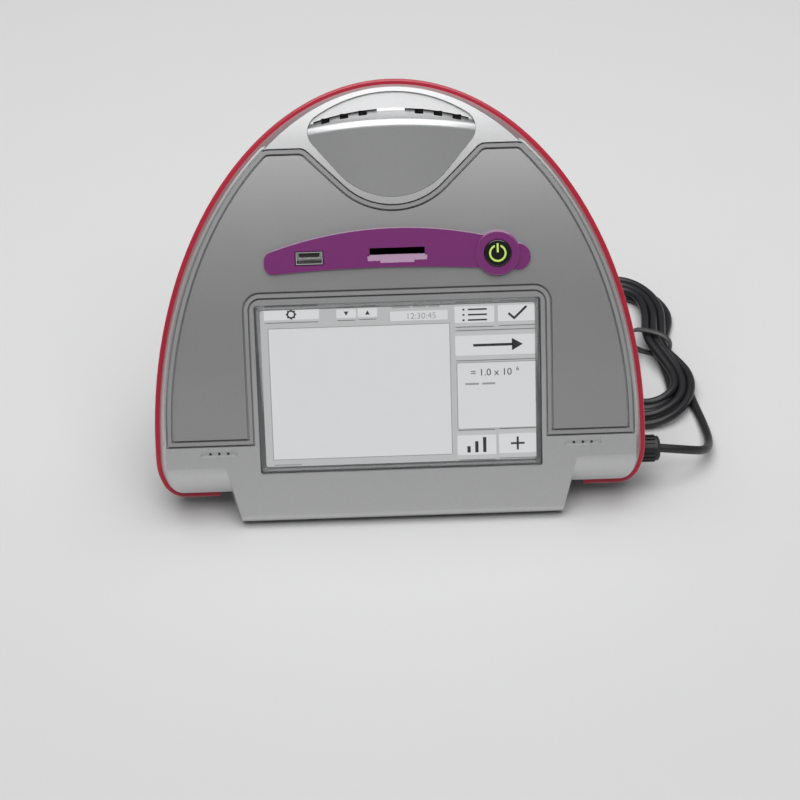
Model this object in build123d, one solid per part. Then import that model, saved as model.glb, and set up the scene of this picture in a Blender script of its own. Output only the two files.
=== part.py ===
# Automated cell counter: an arched bench instrument with a leaning touch screen.
# Millimetres, X to the right, Y to the back, Z up. The origin is the middle of the footprint,
# on the surface that the feet stand on.
# The front is drawn in the face frame: x to the right, u up the leaning face, n out of it.
from build123d import *
import math
import os

os.makedirs("parts", exist_ok=True)

# Stance and main planes
DEPTH = 140.0           # chin edge to the flat back
FOOT_H = 2.6            # rubber feet under the base plate
FACE_LEAN = 15.0        # lean of the screen face from upright, degrees
TRIM_LEAN = 18.5        # lean of the parting plane that carries the red trim, degrees
TRIM_SET = 12.0         # parting plane behind the chin edge, square to the face
WALL = 2.5              # wall of both housings

# Arch outline in the parting plane, heights from the underside of the wings
ARCH_HALF = 118.8       # half width over the trim
ARCH_RISE = 174.8       # height of the half ellipse over its springing line
ARCH_SPRING = 25.0      # springing line
ARCH_FOOT = 11.0        # underside of the outline, up the parting plane from the chin edge
CORNER_UP = 19.0        # centre of the large lower corner
CORNER_R = 27.0         # large lower corner
HEEL_R = 12.0           # smaller round that runs into the underside
DRAFT = 14.6            # draft of the front housing's sides, degrees

# Front face
FACE_BEND_U = 70.0      # the face is flat up to here
FACE_R = 450.0          # and then curves back on this radius
ROLL_U = 29.5           # the wings roll under from here
ROLL_R = 19.0           # radius of that roll
ROLL_TURN = 105.0       # degrees of the roll, until it is level
CHIN_HALF = 76.8        # half width of the chin at its lower edge
CHIN_TOP_U = 29.3       # where the chin's sides leave the wings
CHIN_TOP_HALF = 84.4
CHIN_DRAFT = 12.0       # draft of the chin's sides, degrees
CHIN_R = 3.5            # round of the chin's lower edge

# Trim band
TRIM_T = 3.0            # thickness of the band
TRIM_PROUD = 2.3        # how far it stands out of the front housing
TRIM_DEEP = 4.2         # how far it reaches inwards
TRIM_R = 0.9            # rounded edges of the band
REAR_SET = 1.5          # rear housing inside the band's edge

# Recess of the dark panel
POCKET_HALF = 112.2     # half ellipse of the recess
POCKET_RISE = 164.0
POCKET_SPRING = 43.0
POCKET_FOOT = 40.0      # lower edge, the lit ledge over the wings
POCKET_TOP = 181.2      # level upper edge beside the hood
POCKET_CORNER_R = 5.0
SCOOP_R = 33.0          # lower round of the edge below the hood
SCOOP_U = 154.4         # lowest point of that edge
SCOOP_TURN = 43.7       # degrees from the axis to the straight flank
SCOOP_SHOULDER_R = 6.0
BEZEL_HALF = 69.8       # screen surround that stands in the recess
BEZEL_TOP = 111.5
BEZEL_R = 5.0
BEZEL_EDGE_R = 2.0      # soft upper edge of the flat surround
POCKET_SINK = 3.1       # depth of the recess, down to its ledge
LEDGE_T = 1.6
LEDGE_IN = 5.5          # reach of the ledge under the panel
LEDGE_OUT = 1.0         # and under the rim
BEAD_FROM = 0.8         # open groove between rim and bead
BEAD_W = 2.5            # inner edge of the bead, from the rim
BEAD_SINK = 0.5         # its crown below the face
GROOVE_W = 1.0          # open groove between bead and panel
PANEL_SINK = 0.9        # face of the panel below the rim
FIT_GAP = 0.15          # gap round pieces that sit in an opening

# Screen
SCREEN_HALF = 67.6
SCREEN_LOW = 25.6
SCREEN_HIGH = 108.8
SCREEN_R = 1.2
GLASS_SINK = 0.8
GLASS_T = 1.7
GASKET_T = 0.8
GASKET_OUT = 1.0        # reach of the gasket under the surround
GASKET_IN = 2.6         # and under the glass
LCD_T = 4.2
TRAY_T = 1.2            # sheet of the frame that holds the display
DISPLAY_BOSS_R = 2.6
DISPLAY_BOSS_X = 72.4
DISPLAY_BOSS_US = (52.0, 98.0)

# Wing slots
WING_SLOT_X = 87.2
WING_SLOT_U = 36.4
WING_SLOT_L = 17.8
WING_SLOT_H = 2.3
WING_SLOT_DEEP = 0.8
WING_HOLE_R = 0.65
WING_HOLE_STEP = 4.25
SPEAKER_L = 16.0
SPEAKER_W = 5.6
SPEAKER_T = 5.0

# Hood over the air slots
HOOD_TIP_U = 157.9      # lowest point of its outline
HOOD_TIP_R = 34.0
HOOD_TURN = 49.0        # degrees from the axis to the straight flank
HOOD_TOP_U = 205.4      # top of its outline
HOOD_TOP_R = 66.0
HOOD_CORNER_R = 8.0
HOOD_LEAN = 17.0        # lean of its front, degrees
HOOD_R = 165.0          # plan radius of its front
SHELF_Z = 187.1         # height of its level top
SHELF_R = 144.0         # the top falls to both sides on this radius
HOOD_WALL_Y = 0.5       # foot of the sloping wall behind the top
HOOD_WALL_LEAN = 31.0
BROW_R = 4.0
CREASE_R = 2.0
HOOD_T = 2.2
HOOD_SKIRT = 6.0        # depth of the hood's rim in the housing
AIR_SLOT_FROM = 6.5     # each air slot, from the axis outwards
AIR_SLOT_TO = 36.5
AIR_SLOT_H = 0.9
NOTCH_W = 4.0
NOTCH_L = 2.8
NOTCH_FIRST = 13.2
NOTCH_STEP = 8.8
NOTCHES = 3

# Port strip
STRIP_T = 1.7
STRIP_END_X = 61.9      # left end
STRIP_LOBE_X = 57.4     # centre of the round right end
STRIP_LOBE_U = 128.4
STRIP_LOBE_R = 6.1
STRIP_TOP_U = 143.5     # upper edge in the middle
STRIP_TOP_END_U = 132.9 # upper edge at the left end
STRIP_LOW_U = 125.4     # lower edge in the middle
STRIP_LOW_END_U = 123.2 # lower edge at the left end
STRIP_END_R = 4.2
COLLAR_X = 48.0
COLLAR_U = 130.3
COLLAR_R = 10.6
COLLAR_H = 0.9
COLLAR_EDGE_R = 0.6
USB_X = -40.6
USB_U = 130.5
USB_W = 12.5
USB_H = 5.8
USB_GAP = 0.5           # opening round the metal shell
USB_SHEET = 0.35
USB_TONGUE_W = 9.6
USB_TONGUE_T = 1.8
SLOT_X = 0.8
SLOT_U = 132.7
SLOT_W = 26.0
SLOT_H = 3.3
LIP_W = 28.0            # sloping lip below the slot
LIP_H = 3.6
LIP_DEEP = 1.0
THUMB_W = 16.0          # thumb notch in the lip
THUMB_DROP = 1.0        # how far the notch reaches below the lip
THUMB_DEEP = 0.5        # and behind it

# Power button
BUTTON_R = 6.25
BUTTON_GAP = 0.3
BUTTON_PROUD = 1.5      # over the strip
BUTTON_TRAVEL = 1.2
BUTTON_FLANGE_R = 7.4
BUTTON_FLANGE_T = 1.0
BUTTON_SKIRT = 4.3      # depth of the cap below the strip's face
STEM_R = 1.6
LEGEND_R = 4.1
LEGEND_LINE = 0.9
LEGEND_DEEP = 0.5
BUTTON_SPRING_R = 3.2
BUTTON_SPRING_WIRE = 0.3
BUTTON_SPRING_TURNS = 3

# Small board behind the ports
PORT_BOARD_DEEP = 12.0  # its front behind the panel's face
PORT_BOARD_T = 1.6
PORT_BOARD_FROM = -50.0
PORT_BOARD_TO = 58.0
PORT_BOARD_H = 20.0
PORT_POST_R = 2.4
PORT_POST_XS = (-24.0, 27.0)
PORT_POST_U = 131.0
SWITCH_SIDE = 6.0
SWITCH_H = 3.4
PLUNGER_H = 0.8

# Slide guide, along the slot's own frame: x right, y up the face, z out of the slot
GUIDE_WALL = 1.8
GUIDE_GAP = 0.3         # guide's opening larger than the slot by this much on each side
GUIDE_L = 62.0
CARRIAGE_GAP = 0.3
CARRIAGE_L = 8.0
CARRIAGE_FRONT = 43.0   # front of the resting carriage behind the slot
CARRIAGE_SPRING_R = 1.05
CARRIAGE_SPRING_WIRE = 0.2
CARRIAGE_SPRING_TURNS = 5
LIGHT_DEEP = 30.0       # optical axis behind the slot
LIGHT_HOLE_R = 4.5

# Optics in the same frame, heights along y
CHASSIS_X = 22.0        # inner face of the chassis plate
CHASSIS_T = 2.5
SHELF_T = 2.0
LED_Y = 27.0            # underside of the upper shelf
CONDENSER_Y = 12.0      # top of the condenser's shelf
UNDER_Y = -8.0          # top of the shelf under the guide
CAMERA_Y = -50.0        # top of the camera's shelf
SHELF_HALF = 17.0
SHELF_FRONT = -16.0
SHELF_REAR = -44.0
BOARD_T = 1.6
LED_BOARD_SIDE = 20.0
LED_R = 2.5
LED_H = 5.0
CONDENSER_R = 7.0
CONDENSER_T = 4.0
TUBE_R = 8.0
TUBE_BORE = 6.0
TUBE_TOP = -15.0
TUBE_L = 18.0
LENS_GAP = 0.1
LENS_T = 4.0
BLOCK_TOP = -21.0       # cross arm of the lens tube
BLOCK_T = 8.0
BLOCK_HALF_Z = 9.5
ROD_R = 1.5
ROD_X = 12.6
ROD_BACK = 5.5          # second rod and screw beside the axis
SCREW_R = 2.0
RUN_GAP = 0.06          # running fit on rods and screw
MOTOR_R = 6.0
MOTOR_L = 13.0
CAMERA_SIDE = 22.0
SENSOR_SIDE = 8.0
SENSOR_T = 1.5

# Rear housing
REAR_SECTIONS = 5
DOME_START = 34.0       # the top line is part of an ellipse, from this angle to 90 degrees
BACK_TOP_Z = 96.0       # top of the flat back
BACK_HALF = 71.3        # half width of the flat back
SIDE_TAPER = 12.0       # share of the narrowing that is even along the depth
UNDER_Z = 7.2           # underside of the rear housing
PLINTH_REAR_Y = 60.0
PLINTH_REAR_HALF = 62.0
PLINTH_TOP = 22.0
GRILLE_W = 62.0
GRILLE_H = 2.4
GRILLE_STEP = 5.2
GRILLE_ROWS = 8
GRILLE_Z = 38.0
SCREW_BOSS_R = 4.6
SCREW_CORE_R = 1.5
SCREW_GAP = 0.1
SCREW_HEAD_R = 2.9
SCREW_HEAD_H = 2.2
SCREW_SEAT = 12.0       # shoulder of the screw behind the parting plane
SCREW_BITE = 7.0        # length of the screw in the front housing
HOUSING_SCREW_YS = (30.0, 118.0)
HOUSING_SCREW_IN = 9.3  # inside the band's edge

# Base
BASE_T = 1.6
BASE_GAP = 0.6
BASE_BOSS_R = 4.0
BASE_BOSS_TOP = 18.0
BASE_SCREWS = ((71.5, -44.0), (-71.5, -44.0), (60.4, 40.0), (-60.4, 40.0))
FOOT_R = 7.0
FEET = ((62.0, -54.0), (-62.0, -54.0), (48.0, 44.0), (-48.0, 44.0))

# Main board
MAIN_W = 68.0
MAIN_D = 66.0
MAIN_X = -28.0
MAIN_Y = -6.0
MAIN_LIFT = 8.0         # over the base plate
STANDOFF_R = 2.6
CHIPS = (               # place, width, depth and height of each chip
    (-16.0, 16.0, 22.0, 22.0, 2.4),
    (12.0, 18.0, 14.0, 14.0, 1.8),
    (-18.0, -20.0, 26.0, 9.0, 8.0),
    (8.0, -12.0, 12.0, 18.0, 6.0),
    (26.0, 4.0, 8.0, 30.0, 9.0),
)

# Power socket, plug and lead at the right-hand side
PLUG_Y = -38.5
PLUG_Z = 18.6
SOCKET_FACE_X = 115.6
SOCKET_R = 6.0
SOCKET_BORE = 4.7
SOCKET_BORE_L = 12.0
SOCKET_L = 18.0
SOCKET_BOSS_R = 8.6
SOCKET_BOSS_L = 14.0
PLUG_R = 4.4
PLUG_END_X = 127.2
RING_FROM_X = 116.0
RING_TO_X = 127.0
RING_R = 6.1
RIB_R = 6.7
RIB_W = 1.2
RIBS = 18
RING_GAP = 0.08         # running fit on the plug
RING_CLEAR = 0.4        # clearance of the ribs in the housing's recess
RING_DOME_R = 1.5
CORD_R = 2.15
CORD_POINTS = ((127.2, -38.5, 18.6), (142.0, -38.6, 17.6), (155.0, -31.5, 9.2), (158.6, -13.5, 2.7),
               (156.4, 8.0, 2.2), (147.0, 27.0, 2.3))

# Hank of the lead, which lies beside and behind the housing
HANK_H = 11.0
HANK_WAIST = (134.0, 80.0)
HANK_WAIST_W = 18.0
HANK_WAIST_L = 30.0
LOWER_LOBE = (127.0, 35.5)
LOWER_LOBE_RX = 28.0
LOWER_LOBE_RY = 37.5
LOWER_HOLE_RX = 15.5
LOWER_HOLE_RY = 22.0
UPPER_LOBE = (121.0, 120.0)
UPPER_LOBE_RX = 30.0
UPPER_LOBE_RY = 38.0
UPPER_HOLE_RX = 17.5
UPPER_HOLE_RY = 24.0
TIE_W = 3.0
TIE_T = 1.2
END_PLUG_R = 6.0
END_PLUG_L = 30.0
END_PLUG_SLEEVE_R = 3.6
END_PLUG_SLEEVE_L = 12.0
END_PLUG_NOSE_R = 2.75
END_PLUG_NOSE_L = 10.0

BIG = 300.0             # reach of construction solids


# Frames
def rad(degrees):
    return math.radians(degrees)


def lean_plane(origin, lean):
    """A plane whose own y runs up a face that leans back, and whose z points out of that face."""
    return Plane(origin=origin, x_dir=(1, 0, 0), z_dir=(0, -math.cos(rad(lean)), math.sin(rad(lean))))


FACE = lean_plane((0, -DEPTH / 2, FOOT_H), FACE_LEAN)
TRIM = lean_plane(FACE.from_local_coords((0, 0, -TRIM_SET)), TRIM_LEAN)
ARCH = Plane(origin=TRIM.from_local_coords((0, ARCH_FOOT, 0)), x_dir=(1, 0, 0), z_dir=TRIM.z_dir)
SIDE = Plane(origin=FACE.from_local_coords((-BIG / 2, 0, 0)), x_dir=FACE.y_dir, z_dir=(1, 0, 0))


def face_drop(u):
    """How far the outer face has curved back at height u."""
    if u <= FACE_BEND_U:
        return 0.0
    return FACE_R - math.sqrt(FACE_R ** 2 - (u - FACE_BEND_U) ** 2)


def surface_plane(x, u, sink):
    """The plane on the curved face at (x, u), sunk square to that face, its z pointing out."""
    turn = math.asin((u - FACE_BEND_U) / FACE_R)
    radius = FACE_R - sink
    point = (x, FACE_BEND_U + radius * math.sin(turn), radius * math.cos(turn) - FACE_R)
    return lean_plane(FACE.from_local_coords(point), FACE_LEAN + math.degrees(turn))


PORT = surface_plane(SLOT_X, SLOT_U, PANEL_SINK)
USB_PORT = surface_plane(USB_X, USB_U, PANEL_SINK)
BUTTON = surface_plane(COLLAR_X, COLLAR_U, PANEL_SINK - STRIP_T)


def prism(plane, face, low, high):
    """The face drawn in the plane, extruded from low to high along the plane's z."""
    return extrude(plane.offset(low) * face, high - low)


def cylinder(plane, x, y, radius, low, high):
    return prism(plane, Pos(x, y) * Circle(radius), low, high)


def block(plane, x0, x1, y0, y1, z0, z1):
    """A box between two corners in the plane's own frame."""
    centre = Pos((x0 + x1) / 2, (y0 + y1) / 2)
    return prism(plane, centre * Rectangle(x1 - x0, y1 - y0), z0, z1)


def end_face(solid, plane):
    """The face of the solid that lies furthest out along the plane's z."""
    return max(solid.faces(), key=lambda f: plane.to_local_coords(f.center()).Z)


# Outlines of the two housings
def arch_face(inset, half=ARCH_HALF, rise=ARCH_RISE, spring=ARCH_SPRING):
    """Half ellipse on short upright sides, with round lower corners. Its underside is at y = 0."""
    scale = half / ARCH_HALF
    up = CORNER_UP * scale
    centre = half - CORNER_R * scale
    corner = CORNER_R * scale - inset
    heel = HEEL_R * scale - inset
    fall = math.asin((up - heel - inset) / (corner - heel))
    turn = math.degrees(fall)
    heel_x = centre + (corner - heel) * math.cos(fall)
    heel_y = up - (corner - heel) * math.sin(fall)
    side = half - inset
    return make_face([
        Line((-heel_x, inset), (heel_x, inset)),
        CenterArc((heel_x, heel_y), heel, -90, 90 - turn),
        CenterArc((centre, up), corner, -turn, turn),
        Line((side, up), (side, spring)),
        EllipticalCenterArc((0, spring), rise - inset, side, -90, arc_size=180, rotation=90),
        Line((-side, spring), (-side, up)),
        CenterArc((-centre, up), corner, 180, turn),
        CenterArc((-heel_x, heel_y), heel, 180 + turn, 90 - turn),
    ])


def arch_body(inset, height=20.0):
    """The drafted front body, from the parting plane forwards."""
    top = inset + height * math.tan(rad(DRAFT))
    return loft([ARCH * arch_face(inset), ARCH.offset(height) * arch_face(top)], ruled=True)


def face_region(sink):
    """Everything behind the front surface sunk by sink, with the roll under the wings."""
    end = math.degrees(math.asin(0.365))
    last = (FACE_BEND_U + (FACE_R - sink) * math.sin(rad(end)), (FACE_R - sink) * math.cos(rad(end)) - FACE_R)
    roll = ROLL_R - sink
    stop = rad(90 + ROLL_TURN)
    under = (ROLL_U + roll * math.cos(stop), roll * math.sin(stop) - ROLL_R)
    back = (under[0] + BIG / 4 * math.sin(rad(FACE_LEAN)), under[1] - BIG / 4 * math.cos(rad(FACE_LEAN)))
    outline = make_face([
        CenterArc((FACE_BEND_U, -FACE_R), FACE_R - sink, 90 - end, end),
        Line((FACE_BEND_U, -sink), (ROLL_U, -sink)),
        CenterArc((ROLL_U, -ROLL_R), roll, 90, ROLL_TURN),
        Line(under, back),
        Line(back, (last[0], back[1])),
        Line((last[0], back[1]), last),
    ])
    return extrude(SIDE * outline, BIG)


def chin_half(u, sink):
    slope = (CHIN_TOP_HALF - CHIN_HALF) / CHIN_TOP_U
    return CHIN_HALF + slope * u - sink


def chin_body(sink, floor):
    """The chin in front of the parting plane, sunk by sink, down to the height floor."""
    low, high, deep = -12.0, CHIN_TOP_U + 9.0, 30.0
    spread = deep * math.tan(rad(CHIN_DRAFT))

    def outline(extra):
        a = chin_half(low, sink) + extra
        b = chin_half(high, sink) + extra
        return Polygon((-a, low), (a, low), (b, high), (-b, high), align=None)

    sides = loft([FACE.offset(-deep) * outline(spread), FACE * outline(0)], ruled=True)
    lean = math.tan(rad(FACE_LEAN))
    set_in = sink / math.cos(rad(FACE_LEAN))
    front = -DEPTH / 2 + set_in
    rise = floor - FOOT_H
    profile = make_face(Polyline(
        (front + rise * lean, floor), (front + (60 + rise) * lean, floor + 60), (40, floor + 60), (40, floor),
        close=True).edges())
    toe = profile.vertices().sort_by(Axis.X)[0]
    if floor >= FOOT_H:
        profile = fillet(toe, CHIN_R)
    upright = Plane(origin=(-BIG / 2, 0, 0), x_dir=(0, 1, 0), z_dir=(1, 0, 0))
    ahead = block(TRIM, -BIG, BIG, -BIG, BIG, 0, BIG)
    return sides & extrude(upright * profile, BIG) & ahead


def pocket_face(inset):
    """Outline of the dark panel's recess, moved inwards by inset."""
    low = POCKET_FOOT + inset
    high = POCKET_TOP - inset
    arch = make_face([
        EllipticalCenterArc((0, POCKET_SPRING), POCKET_RISE - inset, POCKET_HALF - inset, -90, arc_size=180,
                            rotation=90),
        Line((-POCKET_HALF + inset, POCKET_SPRING), (-POCKET_HALF + inset, low)),
        Line((-POCKET_HALF + inset, low), (POCKET_HALF - inset, low)),
        Line((POCKET_HALF - inset, low), (POCKET_HALF - inset, POCKET_SPRING)),
    ])
    level = Pos(0, (low + high) / 2) * Rectangle(BIG, high - low)
    outline = arch & level
    top = outline.vertices().group_by(Axis.Y)[-1]
    outline = fillet(top, POCKET_CORNER_R - inset / 2)
    outline = outline - bezel_face(inset) - scoop_face(inset)
    shoulders = [v for v in outline.vertices() if abs(v.Y - high) < 0.1 and abs(v.X) < POCKET_HALF / 2 - 10]
    return fillet(shoulders, SCOOP_SHOULDER_R - inset / 2)


def bezel_face(grow):
    """Outline of the screen surround, from the chin edge up, grown by grow."""
    height = BEZEL_TOP + grow
    bezel = Pos(0, height / 2) * Rectangle(2 * (BEZEL_HALF + grow), height)
    return fillet(bezel.vertices().group_by(Axis.Y)[-1], BEZEL_R + grow)


def wedge_face(tip_u, tip_r, turn, inset):
    """A wedge with a round lower tip, open upwards, grown by inset."""
    radius = tip_r + inset
    centre = tip_u + tip_r
    flank = BIG / 3
    x = radius * math.sin(rad(turn))
    y = centre - radius * math.cos(rad(turn))
    far = (x + flank * math.cos(rad(turn)), y + flank * math.sin(rad(turn)))
    return make_face([
        CenterArc((0, centre), radius, 270 - turn, 2 * turn),
        Line((x, y), far),
        Line(far, (-far[0], far[1])),
        Line((-far[0], far[1]), (-x, y)),
    ])


def scoop_face(inset):
    return wedge_face(SCOOP_U, SCOOP_R, SCOOP_TURN, inset)


def hood_face(inset):
    """Shield outline of the hood, moved inwards by inset."""
    wedge = wedge_face(HOOD_TIP_U, HOOD_TIP_R, HOOD_TURN, -inset)
    shield = wedge & (Pos(0, HOOD_TOP_U - HOOD_TOP_R) * Circle(HOOD_TOP_R - inset))
    corners = shield.vertices().group_by(Axis.Y)[-1]
    return fillet(corners, HOOD_CORNER_R - inset)


def window_face(grow):
    height = SCREEN_HIGH - SCREEN_LOW
    middle = (SCREEN_HIGH + SCREEN_LOW) / 2
    return Pos(0, middle) * RectangleRounded(2 * (SCREEN_HALF + grow), height + 2 * grow, SCREEN_R + max(grow, 0))


def skin_piece(face, top, bottom):
    """A plate that follows the curved front: the outline between two depths below the face."""
    column = prism(FACE, face, -60, 30)
    return (column & face_region(top)) - face_region(bottom)


# Front housing
def front_shell():
    outer = (arch_body(TRIM_PROUD) & face_region(0)) + chin_body(0, FOOT_H)
    inner = (arch_body(TRIM_PROUD + WALL) & face_region(WALL)) + chin_body(WALL, -BIG / 10)
    shell = outer - inner
    ledge = skin_piece(pocket_face(-LEDGE_OUT) - pocket_face(LEDGE_IN), WALL - 0.5, POCKET_SINK + LEDGE_T)
    shell = shell + ledge
    shell = shell - skin_piece(pocket_face(0), -20, POCKET_SINK)
    shell = shell + surround()
    shell = shell - prism(FACE, window_face(FIT_GAP), -20, 5)
    shell = shell - prism(FACE, window_face(GASKET_OUT + FIT_GAP), -20, -GLASS_SINK - GLASS_T)
    shell = shell - prism(FACE, hood_face(-FIT_GAP), -60, 30)
    shell = shell + display_bosses()
    for side in (-1, 1):
        shell = shell - wing_slot(side)
    return shell + front_bosses()


def surround():
    """Upper part of the flat screen surround, which stands ever further out of the curved front."""
    body = prism(FACE, bezel_face(0), -POCKET_SINK - LEDGE_T, 0)
    edges = [e for e in end_face(body, FACE).edges() if FACE.to_local_coords(e @ 0.5).Y > BEZEL_TOP - BEZEL_R]
    body = fillet(edges, BEZEL_EDGE_R) & block(FACE, -BIG, BIG, FACE_BEND_U - 5, BIG, -BIG, BIG)
    return body - prism(FACE, window_face(-GASKET_IN), -20, 5)


def wing_slot(side):
    slot = prism(FACE, Pos(side * WING_SLOT_X, WING_SLOT_U) * SlotOverall(WING_SLOT_L, WING_SLOT_H), -WING_SLOT_DEEP, 5)
    for step in (-1, 0, 1):
        slot = slot + cylinder(FACE, side * WING_SLOT_X + step * WING_HOLE_STEP, WING_SLOT_U, WING_HOLE_R, -10, 0)
    return slot


def display_bosses():
    back = GLASS_SINK + GLASS_T + GASKET_T + LCD_T
    bosses = []
    for side in (-1, 1):
        for u in DISPLAY_BOSS_US:
            boss = cylinder(FACE, side * DISPLAY_BOSS_X, u, DISPLAY_BOSS_R, -back, 0)
            bosses.append(boss & face_region(POCKET_SINK + LEDGE_T / 2))
    return Part() + bosses


def screw_places():
    """Places of the housing screws in the arch frame, just inside the trim band."""
    places = []
    for y in HOUSING_SCREW_YS:
        share = (y - ARCH_SPRING) / (ARCH_RISE - HOUSING_SCREW_IN)
        x = (ARCH_HALF - HOUSING_SCREW_IN) * math.sqrt(1 - share ** 2)
        places += [(x, y), (-x, y)]
    return places


def front_bosses():
    bosses = []
    for x, y in screw_places():
        boss = cylinder(ARCH, x, y, SCREW_BOSS_R, -TRIM_T, 40) & face_region(POCKET_SINK + LEDGE_T / 2)
        bosses.append(boss - cylinder(ARCH, x, y, SCREW_CORE_R + SCREW_GAP, -TRIM_T, SCREW_BITE))
    return bosses


def housing_screws():
    screws = []
    for x, y in screw_places():
        shank = cylinder(ARCH, x, y, SCREW_CORE_R, -SCREW_SEAT, SCREW_BITE - 0.5)
        head = cylinder(ARCH, x, y, SCREW_HEAD_R, -SCREW_SEAT - SCREW_HEAD_H, -SCREW_SEAT)
        cross = block(ARCH, x - 1.6, x + 1.6, y - 0.4, y + 0.4, -SCREW_SEAT - SCREW_HEAD_H, -SCREW_SEAT - 1.2)
        screws.append(shank + head - cross)
    return Compound(children=screws)


def trim_ring():
    band = prism(ARCH, arch_face(0) - arch_face(TRIM_DEEP), -TRIM_T, 0)
    outside = [e for e in band.edges() if e.length > 2 * TRIM_T and on_arch_edge(e)]
    band = fillet(outside, TRIM_R)
    return band - block(ARCH, -CHIN_TOP_HALF - 4, CHIN_TOP_HALF + 4, -5, CORNER_UP, -TRIM_T, 0)


def on_arch_edge(edge):
    """True for the edges of the band that run along its outer side."""
    here = ARCH.to_local_coords(edge @ 0.5)
    if here.Y > ARCH_SPRING:
        return (here.X / (ARCH_HALF - 1)) ** 2 + ((here.Y - ARCH_SPRING) / (ARCH_RISE - 1)) ** 2 > 1
    return abs(here.X) > ARCH_HALF - 8 or here.Y < 1


# Pieces in the recess of the front
def panel_bead():
    return skin_piece(pocket_face(BEAD_FROM) - pocket_face(BEAD_W), BEAD_SINK, POCKET_SINK)


def control_panel():
    panel = skin_piece(pocket_face(BEAD_W + GROOVE_W), PANEL_SINK, POCKET_SINK)
    posts = []
    for x in PORT_POST_XS:
        posts.append(cylinder(PORT, x - SLOT_X, PORT_POST_U - SLOT_U, PORT_POST_R, -PORT_BOARD_DEEP, -1))
    return panel + posts - port_openings(FIT_GAP)


def port_openings(grow):
    """Openings for the memory stick, the slide and the button, through strip and panel."""
    usb = block(USB_PORT, -USB_W / 2 - USB_GAP - grow, USB_W / 2 + USB_GAP + grow,
                -USB_H / 2 - USB_GAP - grow, USB_H / 2 + USB_GAP + grow, -8, 8)
    slot = block(PORT, -SLOT_W / 2 - grow, SLOT_W / 2 + grow, -SLOT_H / 2 - grow, SLOT_H / 2 + grow, -8, 8)
    button = cylinder(BUTTON, 0, 0, BUTTON_R + BUTTON_GAP, -8, 8)
    return usb + slot + button


def strip_face():
    low_end, high_end = (-STRIP_END_X, STRIP_LOW_END_U), (-STRIP_END_X, STRIP_TOP_END_U)
    lobe_low, lobe_high = (STRIP_LOBE_X, STRIP_LOBE_U - STRIP_LOBE_R), (STRIP_LOBE_X, STRIP_LOBE_U + STRIP_LOBE_R)
    strip = make_face([
        ThreePointArc(low_end, (0, STRIP_LOW_U), lobe_low),
        CenterArc((STRIP_LOBE_X, STRIP_LOBE_U), STRIP_LOBE_R, -90, 180),
        ThreePointArc(lobe_high, (0, STRIP_TOP_U), high_end),
        Line(high_end, low_end),
    ])
    return fillet(strip.vertices().group_by(Axis.X)[0], STRIP_END_R)


def port_escutcheon():
    outline = strip_face() + Pos(COLLAR_X, COLLAR_U) * Circle(COLLAR_R)
    strip = skin_piece(outline, PANEL_SINK - STRIP_T, PANEL_SINK)
    collar = cylinder(BUTTON, 0, 0, COLLAR_R, -STRIP_T / 2, COLLAR_H)
    collar = fillet(end_face(collar, BUTTON).edges(), COLLAR_EDGE_R)
    return strip + collar - port_openings(0) - lip_cut()


def lip_cut():
    """Sloping lip below the slide slot, with the thumb notch in its middle."""
    top = STRIP_T + 0.3
    low = -SLOT_H / 2 - LIP_H
    profile = Polygon((low, top), (-SLOT_H / 2, STRIP_T - LIP_DEEP), (-SLOT_H / 2, top), align=None)
    notch = Polygon((low - THUMB_DROP, top), (-SLOT_H / 2, STRIP_T - LIP_DEEP - THUMB_DEEP), (-SLOT_H / 2, top),
                    align=None)
    frame = Plane(origin=PORT.from_local_coords((-LIP_W / 2, 0, 0)), x_dir=PORT.y_dir, z_dir=(1, 0, 0))
    wide = extrude(frame * profile, LIP_W)
    narrow = extrude(frame.offset((LIP_W - THUMB_W) / 2) * notch, THUMB_W)
    return wide + narrow


# Hood over the air slots
def hood_form(sink, rounded):
    """The hood's body sunk by sink: a front of large radius, a level top and the wall behind it."""
    tip = FACE.from_local_coords((0, HOOD_TIP_U, -face_drop(HOOD_TIP_U)))
    nose_plane = Plane(origin=tip, x_dir=(1, 0, 0), z_dir=(0, math.sin(rad(HOOD_LEAN)), math.cos(rad(HOOD_LEAN))))
    nose = cylinder(nose_plane, 0, HOOD_R, HOOD_R - sink, -60, 80)
    body = nose & shelf_cylinder(sink)
    wall = lean_plane((0, HOOD_WALL_Y, SHELF_Z), HOOD_WALL_LEAN).offset(-sink)
    behind = block(wall, -BIG / 4, BIG / 4, -80, 40, -60, 0)
    body = body + behind
    if not rounded:
        return body
    crease = Vertex(0, HOOD_WALL_Y, SHELF_Z)
    body = fillet([e for e in body.edges() if e.distance_to(crease) < 0.05], CREASE_R)
    front = [e for e in body.edges() if abs((e @ 0.5).Z - SHELF_Z) < 12 and e.length > HOOD_CORNER_R * 4]
    brow = min(front, key=lambda e: min((e @ t).Y for t in (0.25, 0.5, 0.75)))
    return fillet(brow, BROW_R)


def shelf_cylinder(sink):
    axis = Plane(origin=(0, 0, SHELF_Z - SHELF_R), x_dir=(1, 0, 0), z_dir=(0, 1, 0))
    return cylinder(axis, 0, 0, SHELF_R - sink, -BIG / 3, BIG / 3)


def shelf_drop(x):
    return SHELF_R - math.sqrt(SHELF_R ** 2 - x ** 2)


def vent_hood():
    column = prism(FACE, hood_face(0), -60, 30) & (arch_body(TRIM_PROUD) + block(FACE, -60, 60, 150, 220, -20, 20))
    hollow = prism(FACE, hood_face(HOOD_T), -60, 30)
    hood = column & hood_form(0, True)
    hood = hood - (hollow & hood_form(HOOD_T, False))
    hood = hood - face_region(HOOD_SKIRT)
    for side in (-1, 1):
        hood = hood - air_slot(side)
    return hood


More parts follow.
